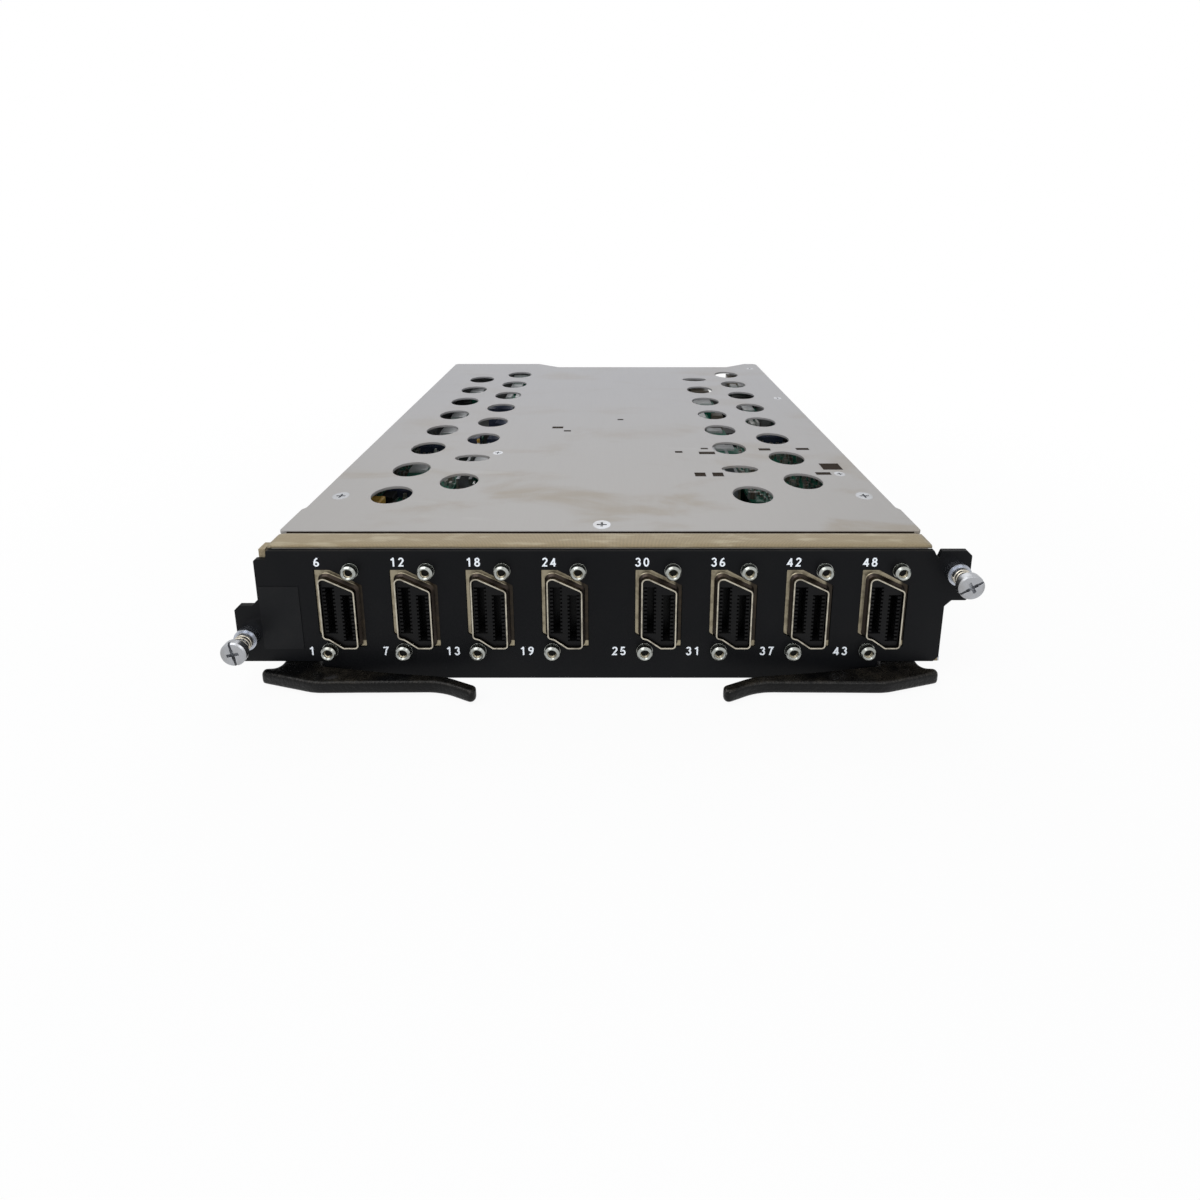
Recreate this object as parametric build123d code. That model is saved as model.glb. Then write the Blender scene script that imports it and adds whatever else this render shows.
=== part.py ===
from build123d import *
import os

# Switch line card, in millimetres. X runs to the right seen from the front, Y into the slot, Z up.
# The origin is on the back face of the faceplate, on the card's centre line, at half of one rack unit's height.

# Faceplate
card_height = 44.2  # from the faceplate's bottom edge to the top of the cover
panel_thickness = 1.5
ear_reach = 111.4  # from the centre line to the end of each fixing ear
panel_half = ear_reach - 11.4  # half the width of the straight top edge
body_left = -(ear_reach - 7.5)
body_right = ear_reach - 6.7
ear_chamfer = 1.5
ear_root = 2.0  # size of the slope between ear and body
left_ear_top = 2.9
right_ear_bottom = 4.8
shoulder_drop = 2.8  # the left shoulder lies this far below the top edge
shoulder_width = 3.7
shoulder_radius = 0.8
notch_width = 2.4
notch_depth = 2.7
end_rise = 5.9  # the bottom edge is this much higher at both ends, over the levers
end_rise_from = panel_half - 14.0
corner_chamfer = 1.6

# Label film on the left end of the faceplate
label_width = 13.6
label_height = 24.9
label_thickness = 0.15
label_margin = 0.5  # between the label and the body's edges

# Ports
port_count = 8
port_pitch = 0.228 * panel_half
ports_per_group = 4
group_gap = 0.056 * panel_half  # extra space between the two groups of four
port_group_offset = 0.036 * panel_half
port_height = 1.3  # of the socket's centre over the origin
port_width = 10.7
port_top = 11.8
port_bottom = 11.8
shell_wall = 0.4
shell_reach = 2.0  # how far the rim stands out of the faceplate
shell_step_back = 0.3  # the shell fills the cutout up to this far behind the faceplate's face
shell_fit = 0.08  # clearance in the cutout
foot_width = 0.75  # the rim's foot flares out by this much
foot_reach = 0.9
cutout_width = 14.2
cutout_height = 26.0
cutout_shift = 0.6
flange_width = 15.8
flange_height = 33.0
flange_thickness = 2.0
contact_recess = 0.8  # from the rim back to the face of the contact block
contact_block_depth = 25.0
rib_width = 1.6  # without its teeth
rib_teeth = 0.6  # how far the teeth stand out of the rib
wall_teeth = 0.95  # and out of the outer walls
contact_slot_width = 2.15  # free way between the teeth
contact_slot_depth = 5.0
tooth_rows = 12
tooth_pitch = 1.27
tooth_thickness = 0.62
tooth_depth = 2.6  # from the face into the slot
slot_end = 0.5  # from the last tooth to the slot's end
slot_shift = 1.3  # the left slot sits this much higher and the right one as much lower
slot_middle = -0.5
block_clearance = 0.1

# Jack sockets, one above to the right and one below to the left of each port
jack_offset = 4.1
jack_rise = 13.5  # half the height between the two
jack_middle = 0.1
jack_radius = 2.35
jack_base_radius = 2.5
jack_groove_radius = 1.95
jack_reach = 2.5
jack_thread_radius = 1.3
jack_stud_radius = 1.7
jack_stud_length = 5.2

# Tray
sheet = 1.0
tray_half = panel_half - 1.2
tray_drop = 16.6  # underside of the tray below the origin
tray_length = 224.0
tray_ear = 3.5  # its two rear ends reach this much further and are closed by a wall
lip_depth = 17.5
window_width = 16.8

# Cover
cover_gap = 0.5  # between gasket and cover
cover_front = 8.8
cover_half = panel_half
cover_front_flare = 1.0
cover_flare_depth = 14.7
cover_skirt = 9.0
cover_ear_depth = tray_length + 2.0
cover_middle_depth = cover_ear_depth - 9.0
recess_left = -0.31 * cover_half
recess_right = 0.79 * cover_half
slope_width = 13.5
vent_radius = 7.1
vent_rows = 8
vent_first = 26.2
vent_stagger = 11.6
vent_pitch = (cover_ear_depth - 66.75) / (vent_rows - 1)
vent_columns = (-cover_half + 25.5, -cover_half + 46.7, cover_half - 46.2, cover_half - 24.8)
half_vents = ((1, 1), (2, 1), (2, 7))  # column and row of the vents that are flat ellipses
half_vent_radius = 3.65

# Small slots in the cover: X or distance from the right edge, share of the cover's depth, width and length
middle_slots = ((-21.5, 0.434, 5.1, 2.0), (-16.7, 0.413, 3.2, 1.0), (8.0, 0.485, 2.8, 1.0))
right_slots = (
    (68.2, 0.297, 3.1, 1.2), (56.9, 0.314, 3.1, 1.0), (56.5, 0.292, 6.7, 2.2), (62.4, 0.194, 4.2, 3.0),
    (55.6, 0.194, 4.2, 3.0), (31.5, 0.31, 5.0, 2.0), (15.3, 0.312, 5.5, 1.6), (9.8, 0.228, 7.7, 5.6),
    (15.0, 0.198, 5.8, 1.8),
)
cover_slots = [(x, share * cover_ear_depth, *size) for x, share, *size in middle_slots] + [
    (cover_half - inset, share * cover_ear_depth, *size) for inset, share, *size in right_slots]

# Gaskets
gasket_thickness = 1.3
side_gasket_inner = panel_half + 0.9
side_gasket_depth = 4.0
left_gasket_outer = panel_half + 2.8
right_gasket_outer = panel_half + 5.4

# Circuit board
board_top = -11.9
board_thickness = 1.6
board_half = tray_half - 1.5
board_front_gap = 0.4  # behind the ends of the jack sockets
board_ear_end = tray_length - 2.0
board_rear = tray_length + 8.0
board_front = jack_stud_length + board_front_gap
asic_v = 0.455  # place of the switch chips, as a share of the board's length
sink_size = 44.0
sink_front = board_front + asic_v * (board_ear_end - board_front) - sink_size / 2

# Cover screws and the posts under them
big_screws = ((-cover_half + 7.8, 25.2), (cover_half - 7.0, 25.2))
lip_screw = (0.4, 4.2)
small_screws = ((cover_half - 8.8, 44.4), (-cover_half + 56.1, sink_front - 15.9), (cover_half - 6.1, cover_ear_depth - 80.0),
                (cover_half - 6.5, cover_ear_depth - 13.0))
big_head_radius = 2.9
small_head_radius = 2.1
big_shank_radius = 1.5
small_shank_radius = 1.2
screw_length = 6.0
post_radius = 2.7
post_base_radius = 3.8

# Captive panel screws, each with a ferrule, spring and washer; they face the front
left_screw_x = -(ear_reach - 3.5)
right_screw_x = ear_reach - 4.3
left_screw_z = -7.4
right_screw_z = 14.4
head_radius = 3.85
head_thickness = 2.0
head_face = 10.1  # front of the head before the origin
shank_radius = 1.5
shank_length = 14.5
thread_radius = 1.75
thread_length = 5.2  # it starts behind the ferrule, which the thread can't pass
ferrule_radius = 3.55
ferrule_length = 2.7
ferrule_spigot_radius = 2.5
ferrule_bore_radius = 1.65
ferrule_neck_radius = 3.0
washer_radius = 3.1
washer_thickness = 0.5
screw_clearance = 0.1
spring_wire_radius = 0.25
spring_radius = 2.5
spring_turns = 3.5
spring_gap = 0.02
recess_width = 1.0
recess_depth = 1.0

# Ejector levers, drawn for the right side and mirrored for the left
lever_top = -17.4
lever_thickness = 4.1
lever_edge = 0.75
pivot_x = panel_half - 6.5
pivot_y = 6.2
pivot_boss = 5.4
pin_radius = 2.0
pin_head_radius = 3.4
pin_head_thickness = 1.2
pivot_clearance = 0.08
bracket_sheet = 0.5
bracket_gap = 0.3
bracket_depth = 13.6
bracket_inner = pivot_x - 7.0
bracket_outer = pivot_x + 7.1

# Outer and inner edge of the lever, from its outer end: distance from the pivot line, Y, and corner radius
lever_front_edge = ((10.2, -2.7, 1.1), (10.0, -5.0, 1.1), (-7.7, -9.2, 18), (-46.0, -8.9, 22), (-56.2, -13.2, 1.45))
lever_back_edge = ((-57.5, -10.3, 1.4), (-47.0, -6.2, 20), (-30.5, -4.7, 30), (-7.3, -1.7, 3))

# Backplane side
plug_height = 15.0
plug_depth = 21.0
plug_overlap = 11.0  # how far the plugs lie on the board
signal_count = 3
plug_gap = 1.0
power_width = 14.0
guide_width = 10.0
guide_bore_radius = 2.6
guide_bore_depth = 14.0
plug_start = recess_left + 4.0
signal_width = (recess_right - recess_left - 44.0) / signal_count

# Parts on the board. Their centres are shares of the board's half width and of its length from the front.
asic_places = ((-0.43, asic_v), (0.39, asic_v))
asic_size = 34.0
asic_height = 3.2
sink_base = 3.0
sink_height = 16.0
fin_count = 9
fin_thickness = 1.3
memory_places = [(u, v) for u in (-0.863, 0.8) for v in (0.344, 0.409, 0.473, 0.538)] + [
    (-0.082, 0.307), (0.062, 0.307)]
memory_size = (10.0, 11.0, 1.2)
module_places = ((-0.678, 0.787), (-0.678, 0.926), (0.658, 0.787))
module_size = (46.0, 23.0, 10.5)
inductor_places = ((-0.863, 0.63), (-0.719, 0.63), (0.74, 0.63), (0.863, 0.63), (0.596, 0.898), (0.74, 0.898))
inductor_size = (10.5, 10.5, 5.0)
tantalum_places = ((-0.827, 0.265), (-0.755, 0.265), (-0.683, 0.265), (-0.576, 0.579), (-0.504, 0.579),
                   (0.627, 0.27), (0.534, 0.667), (0.812, 0.27), (0.866, 0.27))
tantalum_size = (4.3, 7.3, 4.0)
film_size = (6.5, 8.0, 20.0)
behind_screw = (cover_front + small_screws[0][1] + post_base_radius + film_size[1] / 2 + 1.3 - board_front) / (
    board_ear_end - board_front)
film_places = ((-0.935, 0.232), (0.925, behind_screw))
can_places = ((-0.308, 0.898), (-0.185, 0.898), (-0.062, 0.898), (0.247, 0.852), (0.37, 0.852))
can_radius = 4.0
can_height = 10.5
transformer_shift = -3.0
transformer_size = (10.0, 13.0, 6.5)
transformer_rows = 2
transformer_first = 0.131  # shares of the board's length
transformer_pitch = 0.074

# Worked out from the sizes above
card_top = card_height / 2
sheet_top = card_top - sheet
panel_top = sheet_top  # the faceplate's top edge is level with the tray's lip
panel_bottom = -card_top
panel_face = -panel_thickness
raised_bottom = panel_bottom + end_rise
step_face = panel_face + shell_step_back
tray_bottom = -tray_drop
tray_floor = tray_bottom + sheet
board_bottom = board_top - board_thickness
rim_face = panel_face - shell_reach
lever_bottom = lever_top - lever_thickness
plug_front = board_rear - plug_overlap


def block(x0, x1, y0, y1, z0, z1):
    """A box between two corners."""
    return Pos((x0 + x1) / 2, (y0 + y1) / 2, (z0 + z1) / 2) * Box(x1 - x0, y1 - y0, z1 - z0)


def rod(x, z, y0, y1, radius):
    """A round bar along Y from y0 to y1."""
    return Plane(origin=(x, y0, z), x_dir=(1, 0, 0), z_dir=(0, 1, 0)) * Cylinder(
        radius, y1 - y0, align=(Align.CENTER, Align.CENTER, Align.MIN))


def post(x, y, z0, z1, radius):
    """A round bar along Z from z0 to z1."""
    return Pos(x, y, z0) * Cylinder(radius, z1 - z0, align=(Align.CENTER, Align.CENTER, Align.MIN))


def front_plate(points, radii, y0, y1):
    """A plate from y0 to y1 whose outline is drawn in X and Z, seen from the front."""
    outline = FilletPolyline(*points, radius=radii, close=True)
    face = Plane.XZ.offset(-y1) * make_face(outline)
    return extrude(face, y1 - y0)


def flat_plate(points, radii, z0, z1):
    """A plate from z0 to z1 whose outline is drawn in X and Y, seen from above."""
    outline = FilletPolyline(*points, radius=radii, close=True)
    return extrude(Plane.XY.offset(z0) * make_face(outline), z1 - z0)


def turned(x, z, profile):
    """A turned piece on an axis along Y, from a profile of radius and Y pairs."""
    outline = Polyline(*[(r, y) for r, y in profile], close=True)
    return Pos(x, 0, z) * revolve(make_face(outline), Axis.Y)


def port_x(index):
    """Centre line of a port, counted from 0 at the left."""
    middle = (port_count - 1) / 2
    side = -1 if index < ports_per_group else 1
    return port_group_offset + (index - middle) * port_pitch + side * group_gap / 2


def jack_places():
    """X and Z of the sixteen jack sockets, the upper and the lower one of each port in turn."""
    middle = port_height + jack_middle
    for index in range(port_count):
        yield port_x(index) + jack_offset, middle + jack_rise
        yield port_x(index) - jack_offset, middle - jack_rise


def port_face(inset):
    """The slanted socket outline about its own centre, inset all round."""
    half = port_width / 2
    points = ((-half, port_top), (-half + 2.2, port_top), (half, port_top - 4.2), (half, -port_bottom),
              (0.7, -port_bottom), (-3.4, -port_bottom + 3.0), (-half, -port_bottom + 3.5))
    outline = FilletPolyline(*points, radius=(1.6, 1.5, 1.4, 1.2, 1.0, 1.5, 1.3), close=True)
    face = make_face(outline)
    return offset(face, -inset) if inset else face


def port_plate(x, inset, y0, y1):
    """The socket outline, inset, extruded from y0 to y1 at a port's centre line."""
    return extrude(port_plane(x, y1) * port_face(inset), y1 - y0)


def port_plane(x, y):
    """A plane across a port's centre line that looks to the front."""
    return Plane(origin=(x, y, port_height), x_dir=(1, 0, 0), z_dir=(0, -1, 0))


def cutout_outline(x, clearance=0):
    """The faceplate's cutout round a socket: a rectangle with two cut corners."""
    half = cutout_width / 2 - clearance
    low = port_height + cutout_shift - cutout_height / 2 + clearance
    high = port_height + cutout_shift + cutout_height / 2 - clearance
    points = ((x - half, high), (x - 2.25, high), (x + half - 0.2, high - 5.05), (x + half, high - 5.6),
              (x + half, low), (x + 1.2, low), (x - half + 0.2, low + 4.4), (x - half, low + 5.0))
    return points, (0.3, 0.8, 0, 0, 0.3, 0.8, 0, 0)


def screw_places():
    """X and Z of the two captive screws, with the name of each side."""
    return (("left", left_screw_x, left_screw_z), ("right", right_screw_x, right_screw_z))


# Faceplate
def make_faceplate():
    top, low = panel_top, raised_bottom
    notch = panel_half + notch_width
    slope = end_rise_from - 2.0
    points = (
        (-panel_half + 0.2, top), (panel_half, top), (panel_half + 0.6 * notch_width, top - notch_depth), (notch, top),
        (ear_reach - ear_chamfer, top), (ear_reach, top - ear_chamfer), (ear_reach, right_ear_bottom),
        (body_right + ear_root, right_ear_bottom), (body_right, right_ear_bottom - ear_root),
        (body_right, low + corner_chamfer), (body_right - corner_chamfer, low), (end_rise_from, low),
        (slope, panel_bottom), (-slope, panel_bottom), (-end_rise_from, low),
        (-ear_reach, low), (-ear_reach, left_ear_top - ear_chamfer), (-ear_reach + ear_chamfer, left_ear_top),
        (body_left - ear_root, left_ear_top), (body_left, left_ear_top + ear_root),
        (body_left, top - shoulder_drop), (body_left + shoulder_width, top - shoulder_drop),
    )
    radii = (0.4, 0, 0.3, 0.4, 0.4, 0.4, 0.8, 0.5, 0.5, 0.3, 0.3, 0.5, 0.5, 0.5, 0.5, 0.8, 0.4, 0.4, 0.5, 0.5,
             shoulder_radius, 0.4)
    plate = front_plate(points, radii, panel_face, 0)
    for index in range(port_count):
        outline, corner_radii = cutout_outline(port_x(index))
        plate -= front_plate(outline, corner_radii, panel_face - 1, 1)
    for x, z in jack_places():
        plate -= rod(x, z, panel_face - 1, 1, jack_stud_radius)
    for _, x, z in screw_places():
        plate -= rod(x, z, panel_face - 1, 1, ferrule_spigot_radius)
    return plate


def make_label():
    left, low = body_left + label_margin, raised_bottom + label_margin
    return block(left, left + label_width, panel_face - label_thickness, panel_face, low, low + label_height)


# Tray: floor, side walls, rear walls beside the plugs, front wall with a window for each port, and a lip
def make_tray():
    rear = tray_length + tray_ear
    tray = block(-tray_half, tray_half, 0, rear, tray_bottom, sheet_top)
    tray -= block(-tray_half + sheet, tray_half - sheet, sheet, rear - sheet, tray_floor, sheet_top + 1)
    tray -= block(recess_left - slope_width, recess_right + slope_width, tray_length, rear + 1, tray_bottom - 1,
                  sheet_top + 1)
    tray += block(-tray_half, tray_half, 0, lip_depth, sheet_top - sheet, sheet_top)
    for index in range(port_count):
        x = port_x(index)
        tray -= block(x - window_width / 2, x + window_width / 2, -1, sheet, tray_floor, sheet_top - sheet)
    for side in (-1, 1):
        tray -= post(side * pivot_x, pivot_y, tray_bottom - 1, tray_floor + 1, pin_radius)
    tray -= post(lip_screw[0], cover_front + lip_screw[1], sheet_top - 2 * sheet, card_top, big_shank_radius)
    return tray


# Cover: flat top with folded side skirts, vents, slots and countersunk screw seats
def make_cover():
    ear_end = cover_front + cover_ear_depth
    middle_end = cover_front + cover_middle_depth
    flare_half = cover_half + cover_front_flare
    flare_end = cover_front + cover_flare_depth
    points = (
        (-flare_half, cover_front), (flare_half, cover_front), (flare_half, flare_end), (cover_half, flare_end + 1.5),
        (cover_half, ear_end), (recess_right + slope_width, ear_end), (recess_right, middle_end),
        (recess_left, middle_end), (recess_left - slope_width, ear_end), (-cover_half, ear_end),
        (-cover_half, flare_end + 1.5), (-flare_half, flare_end),
    )
    radii = (1, 1, 1, 1, 3, 1, 2, 2, 1, 2, 1, 1)
    cover = flat_plate(points, radii, sheet_top, card_top)
    for side in (-1, 1):
        outer, inner = side * cover_half, side * (cover_half - sheet)
        cover += block(min(outer, inner), max(outer, inner), flare_end + 2, ear_end - 6,
                       sheet_top - cover_skirt, sheet_top)
    for column, x in enumerate(vent_columns):
        for row in range(vent_rows):
            y = cover_front + vent_first + row * vent_pitch + vent_stagger * (column % 2)
            flat = (column, row) in half_vents
            hole = Ellipse(vent_radius, half_vent_radius) if flat else Circle(vent_radius)
            cover -= Pos(x, y, sheet_top - 1) * extrude(hole, 2 * sheet + 1)
    for x, depth, width, length in cover_slots:
        y = cover_front + depth
        cover -= block(x - width / 2, x + width / 2, y - length / 2, y + length / 2, sheet_top - 1, card_top + 1)
    for (x, depth), head, shank in all_cover_screws():
        cover -= countersink(x, cover_front + depth, head, shank)
    return cover


def all_cover_screws():
    """Place, head radius and shank radius of each screw in the cover."""
    big = [(place, big_head_radius, big_shank_radius) for place in (lip_screw, *big_screws)]
    return big + [(place, small_head_radius, small_shank_radius) for place in small_screws]


def countersink(x, y, head, shank):
    """The cone of a flat-headed screw, in the thickness of the cover."""
    return Pos(x, y, sheet_top) * Cone(shank, head, sheet, align=(Align.CENTER, Align.CENTER, Align.MIN))


def make_cover_screws(places, head, shank):
    """A group of like flat-headed screws with a cross recess."""
    screws = []
    for x, depth in places:
        y = cover_front + depth
        screw = countersink(x, y, head, shank) + post(x, y, card_top - screw_length, sheet_top, shank)
        for turn in (0, 90):
            screw -= Pos(x, y, card_top) * (Rot(0, 0, turn) * Box(head * 1.1, head * 0.24, head * 0.5))
        screws.append(screw)
    return Compound(children=screws)


def make_posts():
    """Turned posts that carry the board on a shoulder and hold the cover's screws."""
    posts = []
    for (x, depth), shank in [(p, big_shank_radius) for p in big_screws] + [
            (p, small_shank_radius) for p in small_screws]:
        y = cover_front + depth
        piece = post(x, y, tray_floor, board_bottom, post_base_radius) + post(x, y, board_bottom, sheet_top, post_radius)
        piece -= post(x, y, card_top - screw_length, card_top, shank)
        posts.append(piece)
    return Compound(children=posts)


# Board, cut round the posts and stepped at the rear like the cover
def make_board():
    points = (
        (-board_half, board_front), (board_half, board_front), (board_half, board_ear_end),
        (recess_right + 6, board_ear_end), (recess_right + 3, board_rear), (recess_left - 1, board_rear),
        (recess_left - 4, board_ear_end), (-board_half, board_ear_end),
    )
    board = flat_plate(points, (1, 1, 2, 1, 1, 1, 1, 2), board_bottom, board_top)
    for x, depth in (*big_screws, *small_screws):
        board -= post(x, cover_front + depth, board_bottom - 1, board_top + 1, post_radius)
    return board


# Gaskets
def make_top_gasket():
    """A fabric strip on the lip, with softened upper edges."""
    end = cover_front - cover_gap
    points = ((0.02, sheet_top), (end, sheet_top), (end, sheet_top + gasket_thickness),
              (0.02, sheet_top + gasket_thickness))
    outline = FilletPolyline(*points, radius=(0, 0, 0.6, 0.5), close=True)
    strip = extrude(Plane.YZ.offset(-panel_half) * make_face(outline), 2 * panel_half)
    return strip


def make_side_gaskets():
    """Fabric strips on the back of the faceplate, outside the tray: high on the left, low on the right."""
    left = block(-left_gasket_outer, -side_gasket_inner, 0, side_gasket_depth,
                 left_ear_top + ear_root, panel_top - shoulder_drop + 2.6)
    right = block(side_gasket_inner, right_gasket_outer, 0, side_gasket_depth,
                  lever_top + 0.2, right_ear_bottom - ear_root)
    return left, right


# Ports
def make_port_shell(index):
    """Plated frame: a flange behind the faceplate, a step that fills its cutout and a thin rim on a flared foot."""
    x = port_x(index)
    low, high = port_height - flange_height / 2, port_height + flange_height / 2
    outline, corner_radii = cutout_outline(x, shell_fit)
    foot = loft([port_plane(x, step_face) * port_face(-foot_width),
                 port_plane(x, step_face - foot_reach) * port_face(-0.02)], ruled=True)
    foot &= front_plate(outline, corner_radii, rim_face, step_face)
    shell = block(x - flange_width / 2, x + flange_width / 2, 0, flange_thickness, low, high)
    shell += front_plate(outline, corner_radii, step_face, 0)
    shell += foot + port_plate(x, 0, rim_face, flange_thickness)
    shell -= port_plate(x, shell_wall, rim_face - 1, flange_thickness + 1)
    for jack_x, jack_z in list(jack_places())[2 * index:2 * index + 2]:
        shell -= rod(jack_x, jack_z, -2, flange_thickness + 1, jack_stud_radius)
    return shell


def make_contact_slots():
    """Cutter for a port's two slots, each less the comb of teeth on both of its sides."""
    face = rim_face + contact_recess
    half_row = (tooth_rows - 1) * tooth_pitch / 2
    half_slot = half_row + tooth_thickness / 2 + slot_end
    slots = []
    for side in (-1, 1):
        middle = port_height + slot_middle - side * slot_shift
        inner = side * rib_width / 2
        inner_tip = inner + side * rib_teeth
        outer_tip = inner_tip + side * contact_slot_width
        outer = outer_tip + side * wall_teeth
        slot = block(min(inner, outer), max(inner, outer), face - 1, face + contact_slot_depth,
                     middle - half_slot, middle + half_slot)
        teeth = []
        for row in range(tooth_rows):
            z = middle + half_row - row * tooth_pitch
            for root, tip in ((inner, inner_tip), (outer, outer_tip)):
                teeth.append(block(min(root, tip), max(root, tip), face - 1, face + tooth_depth,
                                   z - tooth_thickness / 2, z + tooth_thickness / 2))
        slots.append(slot - teeth)
    return slots


def make_port_block(index, slots):
    """Black contact block: a body on the board and, in the shell, a rib between two toothed slots."""
    x = port_x(index)
    half_body = flange_width / 2 - 0.3
    body = block(x - half_body, x + half_body, flange_thickness, contact_block_depth, board_top, port_height + 14.0)
    body -= block(x + jack_offset - 2.6, x + half_body + 1, 1, jack_stud_length + 2, port_height + 10.5, port_height + 20)
    body -= block(x - half_body - 1, x - jack_offset + 2.6, 1, jack_stud_length + 2, board_top - 1, port_height - 10.5)
    body += port_plate(x, shell_wall + block_clearance, rim_face + contact_recess, flange_thickness)
    return body - [Pos(x, 0, 0) * slot for slot in slots]


def make_jack_sockets():
    """Sixteen threaded sockets, each with a base ring, a groove and a stud through the flange."""
    front = panel_face - jack_reach
    groove_end = panel_face - 0.6
    profile = (
        (jack_thread_radius, front + 0.3), (jack_thread_radius + 0.3, front), (jack_radius - 0.45, front),
        (jack_radius, front + 0.45),
        (jack_radius, groove_end - 0.4), (jack_groove_radius, groove_end - 0.4), (jack_groove_radius, groove_end),
        (jack_base_radius, groove_end), (jack_base_radius, panel_face), (jack_stud_radius, panel_face),
        (jack_stud_radius, jack_stud_length), (0, jack_stud_length), (0, 1.5), (jack_thread_radius, 1.5),
    )
    return Compound(children=[turned(x, z, profile) for x, z in jack_places()])


# Captive screws
def make_panel_screw(x, z, slot_turn):
    face = -head_face
    head_back = face + head_thickness
    end = head_back + shank_length
    profile = (
        (0, face), (head_radius - 0.4, face), (head_radius, face + 0.4), (head_radius, head_back),
        (shank_radius, head_back), (shank_radius, end - thread_length), (thread_radius, end - thread_length),
        (thread_radius, end - 0.6), (thread_radius - 0.6, end), (0, end),
    )
    screw = turned(x, z, profile)
    drive = Box(2 * head_radius + 1, 2 * recess_depth, recess_width * 0.7)
    cross = Box(head_radius * 0.95, 3 * recess_depth, recess_width)
    for angle, cutter in ((slot_turn, drive), (slot_turn, cross), (slot_turn + 90, cross)):
        screw -= Pos(x, face, z) * (Rot(0, angle, 0) * cutter)
    return screw


def washer_back():
    return -head_face + head_thickness + washer_thickness + screw_clearance


def make_washer(x, z):
    front = -head_face + head_thickness + screw_clearance / 2
    return rod(x, z, front, front + washer_thickness, washer_radius) - rod(
        x, z, front - 1, washer_back() + 1, shank_radius + screw_clearance)


def make_spring(x, z):
    """Open coils of six-sided wire between washer and ferrule."""
    start = washer_back() + spring_gap
    end = panel_face - ferrule_length - spring_gap
    length = end - start - 2 * spring_wire_radius
    path = Helix(length / spring_turns, length, spring_radius)
    wire = Plane(origin=path @ 0, z_dir=path % 0) * RegularPolygon(spring_wire_radius, 6)
    coil = sweep(wire, path=path, is_frenet=True)
    seat = Plane(origin=(x, start + spring_wire_radius, z), x_dir=(1, 0, 0), z_dir=(0, 1, 0))
    return seat * coil


def make_ferrule(x, z):
    front = panel_face - ferrule_length
    profile = (
        (ferrule_bore_radius, front), (ferrule_neck_radius, front), (ferrule_neck_radius, front + 0.6),
        (ferrule_radius, front + 0.6), (ferrule_radius, panel_face), (ferrule_spigot_radius, panel_face),
        (ferrule_spigot_radius, 0.4), (ferrule_bore_radius, 0.4),
    )
    return turned(x, z, profile)


# Ejector levers
def make_lever(side):
    """Curved pull, cam nose and pivot eye in one casting, seen from above."""
    eye = ((-pivot_boss, pivot_y - 4.5, 3), (-pivot_boss, pivot_y + pivot_boss, pivot_boss - 0.05),
           (pivot_boss, pivot_y + pivot_boss, pivot_boss - 0.05), (pivot_boss, -2.6, 2.2))
    corners = (*lever_front_edge, *lever_back_edge, *eye)
    points = [(pivot_x + x, y) for x, y, _ in corners]
    lever = flat_plate(points, [radius for *_, radius in corners], lever_bottom, lever_top)
    rims = lever.faces().sort_by(Axis.Z)
    lever = fillet(rims[0].edges() + rims[-1].edges(), lever_edge)
    lever -= post(pivot_x, pivot_y, lever_bottom - 1, lever_top + 1, pin_radius + pivot_clearance)
    return lever if side > 0 else mirror(lever, Plane.YZ)


def make_bracket(side):
    """Folded clevis under the tray that holds the lever's pin above and below."""
    top = tray_bottom
    low = lever_bottom - bracket_gap - bracket_sheet
    bracket = block(bracket_inner, bracket_outer, 0.3, bracket_depth, low, top)
    bracket -= block(bracket_inner - 1, bracket_outer + 1, -1, bracket_depth - bracket_sheet,
                     low + bracket_sheet, top - bracket_sheet)
    bracket -= post(pivot_x, pivot_y, low - 1, top + 1, pin_radius)
    return bracket if side > 0 else mirror(bracket, Plane.YZ)


def make_pin(side):
    low = lever_bottom - bracket_gap - bracket_sheet
    pin = post(pivot_x, pivot_y, low, tray_floor, pin_radius)
    pin += post(pivot_x, pivot_y, tray_floor, tray_floor + pin_head_thickness, pin_head_radius)
    return pin if side > 0 else mirror(pin, Plane.YZ)


# Backplane plugs
def make_signal_plug(index):
    """Moulded plug with a row of contact slots in its rear face."""
    left = plug_start + guide_width + plug_gap + index * (signal_width + plug_gap)
    rear = plug_front + plug_depth
    plug = block(left, left + signal_width, plug_front, rear, board_top, board_top + plug_height)
    plug += block(left, left + signal_width, board_rear, rear, board_bottom - 1.5, board_top)
    for slot in range(6):
        x = left + signal_width / 2 + (slot - 2.5) * 0.15 * signal_width
        plug -= block(x - 0.7, x + 0.7, rear - 8, rear + 1, board_top + 1.5, board_top + plug_height - 1.5)
    return plug


def make_power_plug():
    left = plug_start + guide_width + signal_count * (signal_width + plug_gap) + plug_gap
    rear = plug_front + plug_depth
    plug = block(left, left + power_width, plug_front, rear, board_top, board_top + plug_height)
    plug += block(left, left + power_width, board_rear, rear, board_bottom - 1.5, board_top)
    for blade in range(3):
        x = left + power_width / 2 + (blade - 1) * 4.2
        plug -= block(x - 0.9, x + 0.9, rear - 9, rear + 1, board_top + 2.5, board_top + plug_height - 2.5)
    return plug


def guide_left(side):
    if side < 0:
        return plug_start
    return plug_start + guide_width + signal_count * (signal_width + plug_gap) + power_width + 2 * plug_gap


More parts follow.
